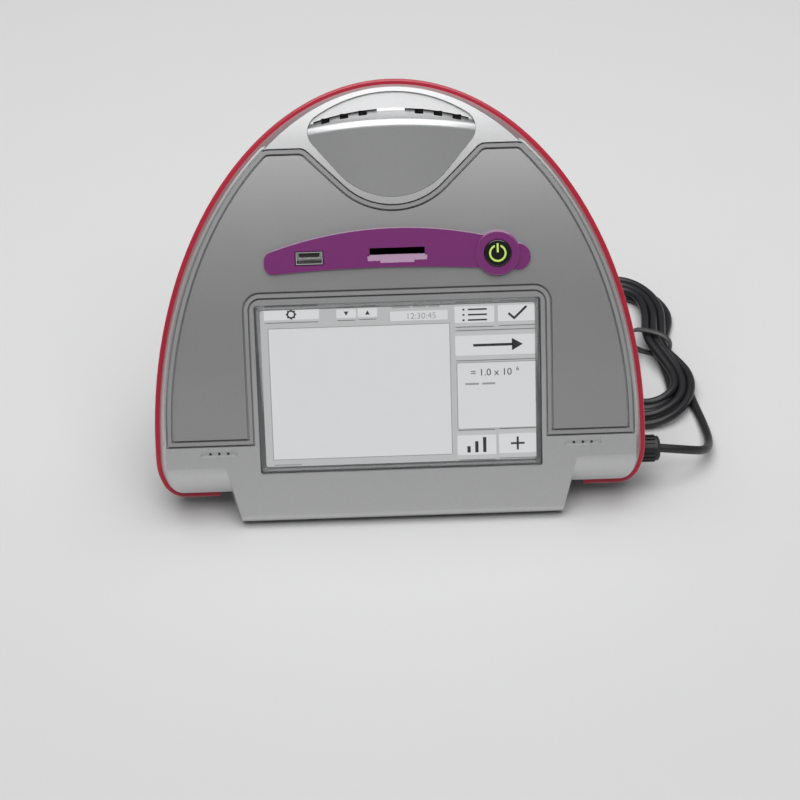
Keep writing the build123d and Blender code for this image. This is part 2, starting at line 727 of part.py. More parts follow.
def air_slot(side):
    """One curved slot at the foot of the wall, with its row of notches in the level top."""
    middle = side * (AIR_SLOT_FROM + AIR_SLOT_TO) / 2
    half = (AIR_SLOT_TO - AIR_SLOT_FROM) / 2
    band = block(Plane.XY, middle - half, middle + half, HOOD_WALL_Y - 4, HOOD_WALL_Y + 30, SHELF_Z - 30, SHELF_Z + 9)
    slot = (band & shelf_cylinder(-AIR_SLOT_H)) - shelf_cylinder(0)
    for step in range(NOTCHES):
        x = side * (NOTCH_FIRST + step * NOTCH_STEP)
        y = HOOD_WALL_Y - shelf_drop(x) * math.tan(rad(HOOD_WALL_LEAN))
        z = SHELF_Z - shelf_drop(x)
        slot = slot + block(Plane.XY, x - NOTCH_W / 2, x + NOTCH_W / 2, y - NOTCH_L, y + 4, z - 6, z + AIR_SLOT_H)
    return slot


# Screen
def touch_glass():
    glass = prism(FACE, window_face(0), -GLASS_SINK - GLASS_T, -GLASS_SINK)
    return fillet(end_face(glass, FACE).edges(), 0.3)


def display_gasket():
    ring = window_face(GASKET_OUT) - window_face(-GASKET_IN)
    back = GLASS_SINK + GLASS_T
    return prism(FACE, ring, -back - GASKET_T, -back)


def lcd_panel():
    back = GLASS_SINK + GLASS_T + GASKET_T
    return prism(FACE, window_face(-0.5), -back - LCD_T, -back)


def display_frame():
    """Sheet tray behind the display, with four ears on the bosses."""
    back = GLASS_SINK + GLASS_T + GASKET_T + LCD_T
    tray = prism(FACE, window_face(1), -back - TRAY_T, -back)
    window = prism(FACE, window_face(-12), -back - TRAY_T, -back)
    ears = []
    for side in (-1, 1):
        for u in DISPLAY_BOSS_US:
            low, high = sorted((side * (SCREEN_HALF - 2), side * (DISPLAY_BOSS_X + 3)))
            ear = block(FACE, low, high, u - 4, u + 4, -back - TRAY_T, -back)
            ears.append(ear - cylinder(FACE, side * DISPLAY_BOSS_X, u, 1.2, -back - TRAY_T, -back))
    ribs = [block(FACE, x - 1, x + 1, SCREEN_LOW + 6, SCREEN_HIGH - 6, -back - TRAY_T, -back) for x in (-22, 22)]
    return tray - window + ribs + ears


# Ports and the power button
def usb_shell():
    deep = PORT_BOARD_DEEP - FIT_GAP
    shell = block(USB_PORT, -USB_W / 2, USB_W / 2, -USB_H / 2, USB_H / 2, -deep, STRIP_T - 0.4)
    inside = block(USB_PORT, -USB_W / 2 + USB_SHEET, USB_W / 2 - USB_SHEET, -USB_H / 2 + USB_SHEET,
                   USB_H / 2 - USB_SHEET, -deep + USB_SHEET, STRIP_T)
    return shell - inside


def usb_tongue():
    """Insulator of the socket, with its four contacts as raised strips."""
    deep = -PORT_BOARD_DEEP + FIT_GAP + USB_SHEET
    y = USB_H / 4 - 0.2
    tongue = block(USB_PORT, -USB_TONGUE_W / 2, USB_TONGUE_W / 2, y - USB_TONGUE_T / 2, y + USB_TONGUE_T / 2,
                   deep, STRIP_T - 2.2)
    for step in range(4):
        x = (step - 1.5) * USB_TONGUE_W / 4.6
        tongue = tongue + block(USB_PORT, x - 0.5, x + 0.5, y - USB_TONGUE_T / 2 - 0.15, y, deep, STRIP_T - 2.6)
    return tongue


def port_board():
    """Small board behind the strip, with a cut-out for the slide guide."""
    top = -PORT_BOARD_DEEP
    board = block(PORT, PORT_BOARD_FROM - SLOT_X, PORT_BOARD_TO - SLOT_X, -PORT_BOARD_H / 2 - 2,
                  PORT_BOARD_H / 2 - 2, top - PORT_BOARD_T, top)
    half_w = SLOT_W / 2 + GUIDE_GAP + GUIDE_WALL + 0.4
    half_h = SLOT_H / 2 + GUIDE_GAP + GUIDE_WALL + 0.4
    return board - block(PORT, -half_w, half_w, -half_h, half_h, top - 5, top + 5)


def board_place():
    """Where the button's axis meets the small board, in that board's frame."""
    return (COLLAR_X - SLOT_X, COLLAR_U - SLOT_U, -PORT_BOARD_DEEP)


def switch_top():
    """Height of the switch body's top in the button's own frame."""
    return BUTTON.to_local_coords(PORT.from_local_coords(board_place())).Z + SWITCH_H


def button_switch():
    x, y, low = board_place()
    half = SWITCH_SIDE / 2
    body = block(PORT, x - half, x + half, y - half, y + half, low, low + SWITCH_H)
    return body + cylinder(PORT, x, y, STEM_R, low, low + SWITCH_H + PLUNGER_H)


def power_button():
    """Cap with a skirt, a retaining flange under the strip and a stem over the switch."""
    low = -BUTTON_SKIRT
    cap = cylinder(BUTTON, 0, 0, BUTTON_R, low, BUTTON_PROUD)
    cap = fillet(end_face(cap, BUTTON).edges(), 0.5)
    cap = cap + cylinder(BUTTON, 0, 0, BUTTON_FLANGE_R, low - BUTTON_FLANGE_T, low)
    cap = cap - cylinder(BUTTON, 0, 0, BUTTON_SPRING_R + 1, low - BUTTON_FLANGE_T, low + 2)
    stem = cylinder(BUTTON, 0, 0, STEM_R, switch_top() + PLUNGER_H + BUTTON_TRAVEL + 0.1, low + 3)
    return cap + stem - prism(BUTTON, legend_face(0), BUTTON_PROUD - LEGEND_DEEP, BUTTON_PROUD)


def legend_face(trim):
    """Open ring with an upright bar at its gap."""
    line = LEGEND_LINE - trim
    ring = Circle(LEGEND_R) - Circle(LEGEND_R - line)
    gap = Pos(0, LEGEND_R) * Rectangle(3 * LEGEND_LINE, 2.4)
    bar = Pos(0, LEGEND_R * 0.62) * Rectangle(line, LEGEND_R * 1.05)
    return ring - gap + bar


def button_legend():
    return prism(BUTTON, legend_face(0), BUTTON_PROUD - LEGEND_DEEP, BUTTON_PROUD)


def coil_spring(plane, radius, wire, low, high, turns):
    path = Helix(pitch=(high - low) / turns, height=high - low, radius=radius)
    section = Plane(origin=path @ 0, z_dir=path % 0) * Circle(wire)
    return plane.offset(low) * sweep(section, path=path)


def button_spring():
    low = switch_top() + BUTTON_SPRING_WIRE + 0.05
    high = -BUTTON_SKIRT + 2 - BUTTON_SPRING_WIRE - 0.05
    return coil_spring(BUTTON, BUTTON_SPRING_R, BUTTON_SPRING_WIRE, low, high, BUTTON_SPRING_TURNS)


# Slide guide and the optics behind it
def slide_guide():
    half_w = SLOT_W / 2 + GUIDE_GAP
    half_h = SLOT_H / 2 + GUIDE_GAP
    top = PANEL_SINK - POCKET_SINK - FIT_GAP / 2
    guide = block(PORT, -half_w - GUIDE_WALL, half_w + GUIDE_WALL, -half_h - GUIDE_WALL, half_h + GUIDE_WALL,
                  -GUIDE_L, top)
    guide = guide - block(PORT, -half_w, half_w, -half_h, half_h, -GUIDE_L + GUIDE_WALL, top)
    window = Plane(origin=PORT.from_local_coords((0, 0, -LIGHT_DEEP)), x_dir=(1, 0, 0), z_dir=PORT.y_dir)
    guide = guide - cylinder(window, 0, 0, LIGHT_HOLE_R, -20, 20)
    lug = block(PORT, half_w, CHASSIS_X, -half_h - GUIDE_WALL, half_h + GUIDE_WALL, SHELF_REAR, SHELF_REAR + 8)
    return guide + lug


def slide_carriage():
    half_w = SLOT_W / 2 + GUIDE_GAP - CARRIAGE_GAP
    half_h = SLOT_H / 2 + GUIDE_GAP - CARRIAGE_GAP
    body = block(PORT, -half_w, half_w, -half_h, half_h, -CARRIAGE_FRONT - CARRIAGE_L, -CARRIAGE_FRONT)
    relief = block(PORT, -half_w + 5, half_w - 5, -half_h, 0, -CARRIAGE_FRONT - CARRIAGE_L + 2, -CARRIAGE_FRONT - 2)
    return body - relief


def carriage_spring():
    low = -GUIDE_L + GUIDE_WALL + CARRIAGE_SPRING_WIRE + 0.05
    high = -CARRIAGE_FRONT - CARRIAGE_L - CARRIAGE_SPRING_WIRE - 0.05
    return coil_spring(PORT, CARRIAGE_SPRING_R, CARRIAGE_SPRING_WIRE, low, high, CARRIAGE_SPRING_TURNS)


LIGHT = Plane(origin=PORT.from_local_coords((0, 0, -LIGHT_DEEP)), x_dir=(1, 0, 0), z_dir=PORT.y_dir)
# In the light frame z runs up the optical axis, x to the right and y into the housing.
ROD_PLACES = ((-ROD_X, 0.0), (ROD_X, -ROD_BACK))
SCREW_PLACE = (ROD_X, ROD_BACK)


def chassis_shelf(height, hole):
    front, rear = -(SHELF_FRONT + LIGHT_DEEP), -(SHELF_REAR + LIGHT_DEEP)
    shelf = block(LIGHT, -SHELF_HALF, CHASSIS_X + CHASSIS_T, front, rear, height - SHELF_T, height)
    return shelf - cylinder(LIGHT, 0, 0, hole, height - SHELF_T - 1, height + 1)


def optical_chassis():
    """Upright plate with four shelves and a foot that stands on the base plate."""
    front, rear = -(SHELF_FRONT + LIGHT_DEEP), -(SHELF_REAR + LIGHT_DEEP)
    top = LED_Y + SHELF_T
    plate = block(LIGHT, CHASSIS_X, CHASSIS_X + CHASSIS_T, front, rear, CAMERA_Y - SHELF_T, top)
    chassis = plate + chassis_shelf(top, 1.5) + chassis_shelf(CONDENSER_Y, CONDENSER_R - 1.2)
    chassis = chassis + chassis_shelf(UNDER_Y, LIGHT_HOLE_R) + chassis_shelf(CAMERA_Y, 1.0)
    knee = LIGHT.from_local_coords((0, 0, CAMERA_Y - SHELF_T))
    floor = FOOT_H + BASE_T
    leg = block(Plane.XY, CHASSIS_X + SLOT_X, CHASSIS_X + CHASSIS_T + SLOT_X, knee.Y - 10, knee.Y + 10, floor,
                knee.Z + 4)
    foot = block(Plane.XY, CHASSIS_X + SLOT_X - 12, CHASSIS_X + CHASSIS_T + SLOT_X, knee.Y - 12, knee.Y + 12, floor,
                 floor + SHELF_T)
    for x, y in ROD_PLACES:
        chassis = chassis - cylinder(LIGHT, x, y, ROD_R, UNDER_Y - SHELF_T - 1, UNDER_Y + 1)
    bearing = cylinder(LIGHT, SCREW_PLACE[0], SCREW_PLACE[1], SCREW_R + RUN_GAP, CAMERA_Y - SHELF_T - 1, UNDER_Y + 1)
    return chassis + leg + foot - bearing


def led_board():
    side = LED_BOARD_SIDE / 2
    board = block(LIGHT, -side, side, -side, side, LED_Y - BOARD_T, LED_Y)
    base = cylinder(LIGHT, 0, 0, LED_R + 0.5, LED_Y - BOARD_T - 1, LED_Y - BOARD_T)
    lamp = cylinder(LIGHT, 0, 0, LED_R, LED_Y - BOARD_T - LED_H, LED_Y - BOARD_T)
    tip = min(lamp.faces(), key=lambda f: LIGHT.to_local_coords(f.center()).Z)
    return board + base + fillet(tip.edges(), LED_R * 0.8)


def condenser_lens():
    """Plano-convex lens, flat side down on its shelf."""
    bulge = 2 * CONDENSER_R
    ball = LIGHT.offset(CONDENSER_Y + CONDENSER_T - bulge) * Sphere(bulge)
    return cylinder(LIGHT, 0, 0, CONDENSER_R, CONDENSER_Y, CONDENSER_Y + CONDENSER_T + 1) & ball


def lens_tube():
    """Tube of the objective with a cross arm that runs on two rods and a screw."""
    low = TUBE_TOP - TUBE_L
    tube = cylinder(LIGHT, 0, 0, TUBE_R, low, TUBE_TOP)
    half = ROD_X + ROD_R + 3
    arm = block(LIGHT, -half, half, -BLOCK_HALF_Z, BLOCK_HALF_Z, BLOCK_TOP - BLOCK_T, BLOCK_TOP)
    body = tube + arm - cylinder(LIGHT, 0, 0, TUBE_BORE, TUBE_TOP - LENS_T, TUBE_TOP)
    body = body - cylinder(LIGHT, 0, 0, TUBE_BORE - 1, low, TUBE_TOP)
    for x, y in ROD_PLACES:
        body = body - cylinder(LIGHT, x, y, ROD_R + RUN_GAP, low, TUBE_TOP)
    return body - cylinder(LIGHT, SCREW_PLACE[0], SCREW_PLACE[1], SCREW_R + RUN_GAP, low, TUBE_TOP)


def objective_lens():
    bulge = 2.2 * TUBE_BORE
    ball = LIGHT.offset(TUBE_TOP - 0.3 - bulge) * Sphere(bulge)
    return cylinder(LIGHT, 0, 0, TUBE_BORE - LENS_GAP, TUBE_TOP - LENS_T, TUBE_TOP) & ball


def guide_rods():
    return Compound(children=[cylinder(LIGHT, x, y, ROD_R, CAMERA_Y, UNDER_Y) for x, y in ROD_PLACES])


def focus_screw():
    x, y = SCREW_PLACE
    return cylinder(LIGHT, x, y, SCREW_R, CAMERA_Y - SHELF_T - 0.3, UNDER_Y - 0.5)


def focus_motor():
    x, y = SCREW_PLACE
    top = CAMERA_Y - SHELF_T
    can = cylinder(LIGHT, x, y, MOTOR_R, top - MOTOR_L, top)
    return can - cylinder(LIGHT, x, y, SCREW_R + RUN_GAP, top - 0.6, top)


def camera_board():
    side = CAMERA_SIDE / 2
    low = CAMERA_Y
    board = block(LIGHT, -side, side - 4, -side, side, low, low + BOARD_T)
    half = SENSOR_SIDE / 2
    board = board + block(LIGHT, -half, half, -half, half, low, low + BOARD_T + SENSOR_T)
    for x, y in ROD_PLACES:
        board = board - cylinder(LIGHT, x, y, ROD_R + 1, low - 1, low + 5)
    return board


# Rear housing
def back_half(share):
    even = SIDE_TAPER * share
    return ARCH_HALF - REAR_SET - even - (ARCH_HALF - REAR_SET - BACK_HALF - SIDE_TAPER) * share ** 3


def dome_section(step, inset):
    """One outline of the rear housing, from the parting plane (step 0) to the flat back."""
    first = ARCH.offset(-TRIM_T)
    if step == 0:
        return first * arch_face(inset + REAR_SET)
    share = step / (REAR_SECTIONS - 1)
    start, turn = rad(DOME_START), rad(DOME_START + (90 - DOME_START) * share)
    top0 = first.from_local_coords((0, ARCH_SPRING + ARCH_RISE - REAR_SET, 0))
    low0 = first.from_local_coords((0, REAR_SET, 0))
    back = DEPTH / 2
    reach = (back - top0.Y) / (1 - math.sin(start))
    top_y = back - reach * (1 - math.sin(turn))
    top_z = BACK_TOP_Z + (top0.Z - BACK_TOP_Z) * math.cos(turn) / math.cos(start)
    low_y = low0.Y + (back - low0.Y) * share
    height = math.hypot(top_y - low_y, top_z - UNDER_Z)
    lean = math.degrees(math.atan2(top_y - low_y, top_z - UNDER_Z))
    half = back_half(share)
    spring = ARCH_SPRING * half / ARCH_HALF
    set_in = inset if step == REAR_SECTIONS - 1 else 0
    return lean_plane((0, low_y - set_in, UNDER_Z), lean) * arch_face(inset, half, height - spring, spring)


def dome(inset):
    return loft([dome_section(step, inset) for step in range(REAR_SECTIONS)])


def plinth_half(z):
    """Half width of the chin where it meets the parting plane, at height z."""
    u = (z - FOOT_H) / math.cos(rad(FACE_LEAN)) + TRIM_SET * math.tan(rad(FACE_LEAN))
    return chin_half(u, 0) + TRIM_SET * math.tan(rad(CHIN_DRAFT))


def plinth_narrow(y):
    """How much narrower each side of the plinth is at y than at the parting plane."""
    start = TRIM.origin.Y
    return (plinth_half(FOOT_H) - PLINTH_REAR_HALF) * (y - start) / (PLINTH_REAR_Y - start)


def plinth(inset, floor):
    """Lower part of the rear housing, which carries the chin's sides on to the back."""
    front_y, rear_y = TRIM.origin.Y - FOOT_H, PLINTH_REAR_Y - inset

    def outline(y):
        low = plinth_half(floor) - inset - plinth_narrow(y)
        high = plinth_half(PLINTH_TOP) - inset - plinth_narrow(y)
        upright = Plane(origin=(0, y, 0), x_dir=(-1, 0, 0), z_dir=(0, 1, 0))
        return upright * Polygon((-low, floor), (low, floor), (high, PLINTH_TOP), (-high, PLINTH_TOP), align=None)

    return loft([outline(front_y), outline(rear_y)], ruled=True) & block(TRIM, -BIG, BIG, -BIG, BIG, -BIG, 0)


def rear_cover():
    outer = dome(0) + plinth(0, FOOT_H)
    cover = outer - dome(WALL) - plinth(WALL, -BIG / 10)
    cover = cover + (rear_sleeves() & dome(0.2)) + socket_boss() + base_bosses()
    for x, y in screw_places():
        cover = cover - cylinder(ARCH, x, y, SCREW_HEAD_R + 0.3, -BIG, -SCREW_SEAT)
        cover = cover - cylinder(ARCH, x, y, SCREW_CORE_R + SCREW_GAP, -SCREW_SEAT - 1, 0)
    cover = cover - cylinder(SOCKET, 0, 0, SOCKET_R + FIT_GAP, -SOCKET_L - 10, 0)
    cover = cover - cylinder(SOCKET, 0, 0, RIB_R + RING_CLEAR, 0, SOCKET_L)
    return cover - grille()


SOCKET = Plane(origin=(SOCKET_FACE_X, PLUG_Y, PLUG_Z), x_dir=(0, 1, 0), z_dir=(1, 0, 0))


def rear_sleeves():
    sleeves = [cylinder(ARCH, x, y, SCREW_BOSS_R, -BIG / 2, -TRIM_T) for x, y in screw_places()]
    return Part() + sleeves


def socket_boss():
    return cylinder(SOCKET, 0, 0, SOCKET_BOSS_R, -SOCKET_BOSS_L, 0)


def base_bosses():
    floor = FOOT_H + BASE_T
    bosses = []
    for x, y in BASE_SCREWS:
        boss = cylinder(Plane.XY, x, y, BASE_BOSS_R, floor, BASE_BOSS_TOP)
        bosses.append(boss - cylinder(Plane.XY, x, y, SCREW_CORE_R + SCREW_GAP, floor, floor + 8))
    return bosses


def grille():
    """Rows of air slots in the flat back."""
    back = Plane(origin=(0, DEPTH / 2, 0), x_dir=(-1, 0, 0), z_dir=(0, 1, 0))
    cuts = []
    for row in range(GRILLE_ROWS):
        z = GRILLE_Z + row * GRILLE_STEP
        cuts.append(prism(back, Pos(0, z) * SlotOverall(GRILLE_W, GRILLE_H), -WALL - 4, 4))
    return Part() + cuts


# Base, feet and the main board
def base_plate():
    gap = WALL + BASE_GAP
    front = -DEPTH / 2 + gap / math.cos(rad(FACE_LEAN)) + BASE_T * math.tan(rad(FACE_LEAN))
    knee = TRIM.origin.Y
    rear = PLINTH_REAR_Y - gap
    a = chin_half(0, gap)
    b = plinth_half(FOOT_H) - plinth_narrow(knee) - gap
    c = plinth_half(FOOT_H) - plinth_narrow(rear) - gap
    plate = prism(Plane.XY, Polygon((-a, front), (a, front), (b, knee), (c, rear), (-c, rear), (-b, knee), align=None),
                  FOOT_H, FOOT_H + BASE_T)
    for x, y in BASE_SCREWS:
        plate = plate - cylinder(Plane.XY, x, y, SCREW_CORE_R + SCREW_GAP, FOOT_H, FOOT_H + BASE_T)
    return plate


def base_screws():
    screws = []
    for x, y in BASE_SCREWS:
        shank = cylinder(Plane.XY, x, y, SCREW_CORE_R, FOOT_H, FOOT_H + BASE_T + 6)
        screws.append(shank + cylinder(Plane.XY, x, y, SCREW_HEAD_R, FOOT_H - 1.8, FOOT_H))
    return Compound(children=screws)


def rubber_feet():
    feet = []
    for x, y in FEET:
        foot = cylinder(Plane.XY, x, y, FOOT_R, 0, FOOT_H)
        feet.append(chamfer(foot.edges().group_by(Axis.Z)[0], 0.6))
    return Compound(children=feet)


def main_board():
    low = FOOT_H + BASE_T + MAIN_LIFT
    return block(Plane.XY, MAIN_X - MAIN_W / 2, MAIN_X + MAIN_W / 2, MAIN_Y - MAIN_D / 2, MAIN_Y + MAIN_D / 2, low,
                 low + BOARD_T)


def board_chips():
    low = FOOT_H + BASE_T + MAIN_LIFT + BOARD_T
    chips = []
    for x, y, width, depth, height in CHIPS:
        centre = (MAIN_X + x, MAIN_Y + y)
        chips.append(block(Plane.XY, centre[0] - width / 2, centre[0] + width / 2, centre[1] - depth / 2,
                           centre[1] + depth / 2, low, low + height))
    return Compound(children=chips)


def board_standoffs():
    low = FOOT_H + BASE_T
    posts = []
    for x in (MAIN_X - MAIN_W / 2 + 5, MAIN_X + MAIN_W / 2 - 5):
        for y in (MAIN_Y - MAIN_D / 2 + 5, MAIN_Y + MAIN_D / 2 - 5):
            posts.append(cylinder(Plane.XY, x, y, STANDOFF_R, low, low + MAIN_LIFT))
    return Compound(children=posts)


def speakers():
    pair = []
    for side in (-1, 1):
        x = side * WING_SLOT_X
        body = block(FACE, x - SPEAKER_L / 2, x + SPEAKER_L / 2, WING_SLOT_U - SPEAKER_W / 2 - 0.6,
                     WING_SLOT_U + SPEAKER_W / 2 - 0.6, -WALL - SPEAKER_T, -WALL)
        pair.append(body)
    return Compound(children=pair)


# Power socket, plug and lead
def power_socket():
    body = cylinder(SOCKET, 0, 0, SOCKET_R, -SOCKET_L, 0)
    pin = cylinder(SOCKET, 0, 0, 1.0, -SOCKET_L, -3)
    return body - cylinder(SOCKET, 0, 0, SOCKET_BORE, -SOCKET_BORE_L, 0) + pin


def power_plug():
    """Round plug with its barrel in the socket; its collar keeps the ribbed ring in place."""
    barrel = cylinder(SOCKET, 0, 0, PLUG_R, -SOCKET_BORE_L + 0.5, PLUG_END_X - SOCKET_FACE_X)
    collar = cylinder(SOCKET, 0, 0, SOCKET_BORE + 0.9, 0, RING_FROM_X - SOCKET_FACE_X)
    return barrel + collar - cylinder(SOCKET, 0, 0, 1.3, -SOCKET_BORE_L, -1)


def coupling_ring():
    """Ribbed ring that turns round the plug to lock it, with a domed outer end."""
    low, high = RING_FROM_X - SOCKET_FACE_X + 0.1, RING_TO_X - SOCKET_FACE_X
    ring = cylinder(SOCKET, 0, 0, RING_R, low, high)
    ring = fillet(end_face(ring, SOCKET).edges(), RING_DOME_R)
    ribs = []
    for step in range(RIBS):
        turn = Rot(0, 0, 360 / RIBS * step)
        ribs.append(SOCKET * turn * (Pos((RING_R + RIB_R - 0.6) / 2, 0, (low + high - 2.4) / 2)
                                     * Box(RIB_R - RING_R + 0.6, RIB_W, high - low - 2.4)))
    return ring + ribs - cylinder(SOCKET, 0, 0, PLUG_R + RING_GAP, low, high)


def corner_radii(points):
    """Arc radius at each inner point: 0.45 of the shorter run over the tangent of half the turn."""
    radii = []
    for before, here, after in zip(points, points[1:], points[2:]):
        first, second = Vector(here) - Vector(before), Vector(after) - Vector(here)
        turn = rad(first.get_angle(second))
        radii.append(0.45 * min(first.length, second.length) / math.tan(turn / 2))
    return radii


def power_cord():
    radii = corner_radii(CORD_POINTS)
    path = FilletPolyline(*CORD_POINTS, radius=radii)
    start = Plane(origin=path @ 0, z_dir=path % 0)
    cord = sweep(start * Circle(CORD_R), path=path)
    share = cord.volume / (math.pi * CORD_R ** 2 * path.length)
    print("cord radii", [round(r, 1) for r in radii], "length", round(path.length, 1), "volume share", round(share, 4))
    return cord - power_plug() - cord_hank()


def lobe(centre, rx, ry):
    return Pos(*centre) * Ellipse(rx, ry)


def cord_hank():
    """Outer form of the coiled lead: two open lobes, drawn together by the tie."""
    waist = Pos(*HANK_WAIST) * RectangleRounded(HANK_WAIST_W, HANK_WAIST_L, 5)
    form = lobe(LOWER_LOBE, LOWER_LOBE_RX, LOWER_LOBE_RY) + lobe(UPPER_LOBE, UPPER_LOBE_RX, UPPER_LOBE_RY) + waist
    holes = lobe(LOWER_LOBE, LOWER_HOLE_RX, LOWER_HOLE_RY) + lobe(UPPER_LOBE, UPPER_HOLE_RX, UPPER_HOLE_RY)
    return prism(Plane.XY, form - holes, 0.05, HANK_H)


def cable_tie():
    half_w, height = HANK_WAIST_W / 2, HANK_H
    x, y = HANK_WAIST
    outer = block(Plane.XY, x - half_w - TIE_T, x + half_w + TIE_T, y - TIE_W / 2, y + TIE_W / 2, 0.05,
                  height + TIE_T)
    return outer - block(Plane.XY, x - half_w, x + half_w, y - TIE_W, y + TIE_W, -1, height)


def end_plug():
    """Round connector on the far end of the lead, lying behind the housing."""
    start = (UPPER_LOBE[0] - UPPER_LOBE_RX + 1.5, UPPER_LOBE[1], END_PLUG_R + 0.05)
    axis = Plane(origin=start, x_dir=(0, 1, 0), z_dir=(-1, 0, 0))
    sleeve = cylinder(axis, 0, 0, END_PLUG_SLEEVE_R, -1.5, END_PLUG_SLEEVE_L)
    grip = cylinder(axis, 0, 0, END_PLUG_R, END_PLUG_SLEEVE_L, END_PLUG_SLEEVE_L + END_PLUG_L)
    nose = cylinder(axis, 0, 0, END_PLUG_NOSE_R, END_PLUG_SLEEVE_L + END_PLUG_L,
                    END_PLUG_SLEEVE_L + END_PLUG_L + END_PLUG_NOSE_L)
    bore = cylinder(axis, 0, 0, 1.25, END_PLUG_SLEEVE_L + END_PLUG_L + 1,
                    END_PLUG_SLEEVE_L + END_PLUG_L + END_PLUG_NOSE_L)
    return fillet(grip.edges(), 1.0) + sleeve + nose - bore - cord_hank()


PIECES = [
    front_shell, trim_ring, rear_cover, base_plate, rubber_feet, base_screws, housing_screws,
    panel_bead, control_panel, vent_hood, port_escutcheon, usb_shell, usb_tongue, port_board,
    power_button, button_legend, button_spring, button_switch, touch_glass, display_gasket, lcd_panel,
    display_frame, slide_guide, slide_carriage, carriage_spring, optical_chassis, led_board, condenser_lens,
    lens_tube, objective_lens, guide_rods, focus_screw, focus_motor, camera_board, main_board, board_chips,
    board_standoffs, speakers, power_socket, power_plug, coupling_ring, power_cord, cord_hank, cable_tie, end_plug,
]

for piece in PIECES:
    export_step(piece(), f"parts/{piece.__name__}.step")
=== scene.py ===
# The looks of an automated cell counter: an arched bench instrument with a leaning touch screen.
# The housings and the works come from the CAD frame. This script gives them their finishes,
# lays the power lead in its tied hank, draws the screen's picture and sets the studio.
import bpy
import bmesh
from math import atan, cos, pi, radians, sin
from mathutils import Euler, Matrix, Vector


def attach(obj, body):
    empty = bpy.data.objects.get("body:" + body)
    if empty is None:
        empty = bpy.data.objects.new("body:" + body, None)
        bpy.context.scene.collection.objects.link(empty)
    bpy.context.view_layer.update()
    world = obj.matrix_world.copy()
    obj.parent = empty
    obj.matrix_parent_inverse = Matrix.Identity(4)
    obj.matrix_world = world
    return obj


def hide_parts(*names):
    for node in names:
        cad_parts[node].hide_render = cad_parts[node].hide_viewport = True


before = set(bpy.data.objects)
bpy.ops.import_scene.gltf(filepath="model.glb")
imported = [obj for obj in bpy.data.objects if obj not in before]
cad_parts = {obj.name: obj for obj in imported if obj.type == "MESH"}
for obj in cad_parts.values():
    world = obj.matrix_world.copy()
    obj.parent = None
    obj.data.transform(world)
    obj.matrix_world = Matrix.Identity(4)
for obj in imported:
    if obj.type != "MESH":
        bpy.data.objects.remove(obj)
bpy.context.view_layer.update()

# Camera. It looks down on the leaning face from in front, turned a little to the left and
# rolled by a degree, from about a metre away.
CAMERA_AIM = Vector((0.0003, -0.040, 0.0523))
CAMERA_DISTANCE = 1.222
CAMERA_RISE = radians(32.0)
CAMERA_YAW = radians(-0.97)
CAMERA_ROLL = radians(-1.41)
PICTURE_FOCUS = 2529.0      # focal length in pixels of an 800 pixel picture
PICTURE_SIZE = 800.0

camera_data = bpy.data.cameras.new("camera")
camera_data.sensor_width = 36.0
camera_data.lens = PICTURE_FOCUS / PICTURE_SIZE * camera_data.sensor_width
camera = bpy.data.objects.new("camera", camera_data)
bpy.context.collection.objects.link(camera)
camera.rotation_euler = Euler((pi / 2 - CAMERA_RISE, 0, CAMERA_YAW)).to_matrix().to_euler()
sight = camera.rotation_euler.to_matrix()
camera.location = CAMERA_AIM + CAMERA_DISTANCE * (sight @ Vector((0, 0, 1)))
camera.rotation_euler = (sight @ Matrix.Rotation(CAMERA_ROLL, 3, "Z")).to_euler()
bpy.context.scene.camera = camera

# Power lead. A round black lead of soft rubber leaves the locking plug at the right-hand side,
# drops to the bench and ends in a hank of loose turns, drawn together by a tie.
LEAD_RADIUS = 0.00215
LEAD_BLACK = (0.018, 0.018, 0.020, 1.0)
FREE_RUN = (
    (127.2, -38.5, 18.6), (142.0, -38.6, 17.6), (153.8, -31.5, 9.2), (157.4, -13.5, 2.7),
    (156.2, 8.0, 2.2), (152.6, 27.0, 2.2),
)
# Places of the strands as x and height, one for each turn: on the right and the left of the
# lower lobe, in the tie, and on the right and the left of the upper lobe.
LOWER_RIGHT = ((152.3, 2.2), (154.8, 6.0), (150.2, 6.0), (148.0, 2.2), (143.7, 2.2), (146.0, 6.1))
LOWER_LEFT = ((99.3, 2.2), (103.6, 2.2), (107.9, 2.2), (112.2, 2.2), (116.5, 2.2))
TIED_RIGHT = ((142.8, 2.2), (142.8, 6.3), (138.5, 10.4), (138.5, 2.2), (138.5, 6.3), (134.2, 10.4))
TIED_LEFT = ((129.0, 2.2), (129.0, 6.3), (134.0, 2.2), (129.9, 10.4), (134.0, 6.3))
UPPER_RIGHT = ((151.6, 2.2), (147.0, 6.1), (142.7, 6.1), (145.2, 2.2), (140.9, 2.2), (138.0, 6.4))
UPPER_LEFT = ((93.5, 2.2), (97.8, 2.2), (102.1, 2.2), (106.0, 2.2), (110.0, 2.2))
# Places as y and height: the far ends of the turns in the upper lobe, the near ends in the lower.
UPPER_TOP = ((155.2, 2.2), (155.8, 6.5), (149.6, 6.5), (147.6, 2.2), (141.4, 2.2), (142.8, 6.8))
LOWER_FOOT = ((4.2, 2.2), (13.6, 2.2), (18.0, 2.2), (22.4, 2.2), (27.2, 2.2))
UPPER_LAST_X = 121.5
UPPER_YS = (120.5, 120.5, 121.0, 123.5, 123.6, 126.0)
LOWER_YS = (40.0, 38.0, 37.5, 37.5, 42.2)
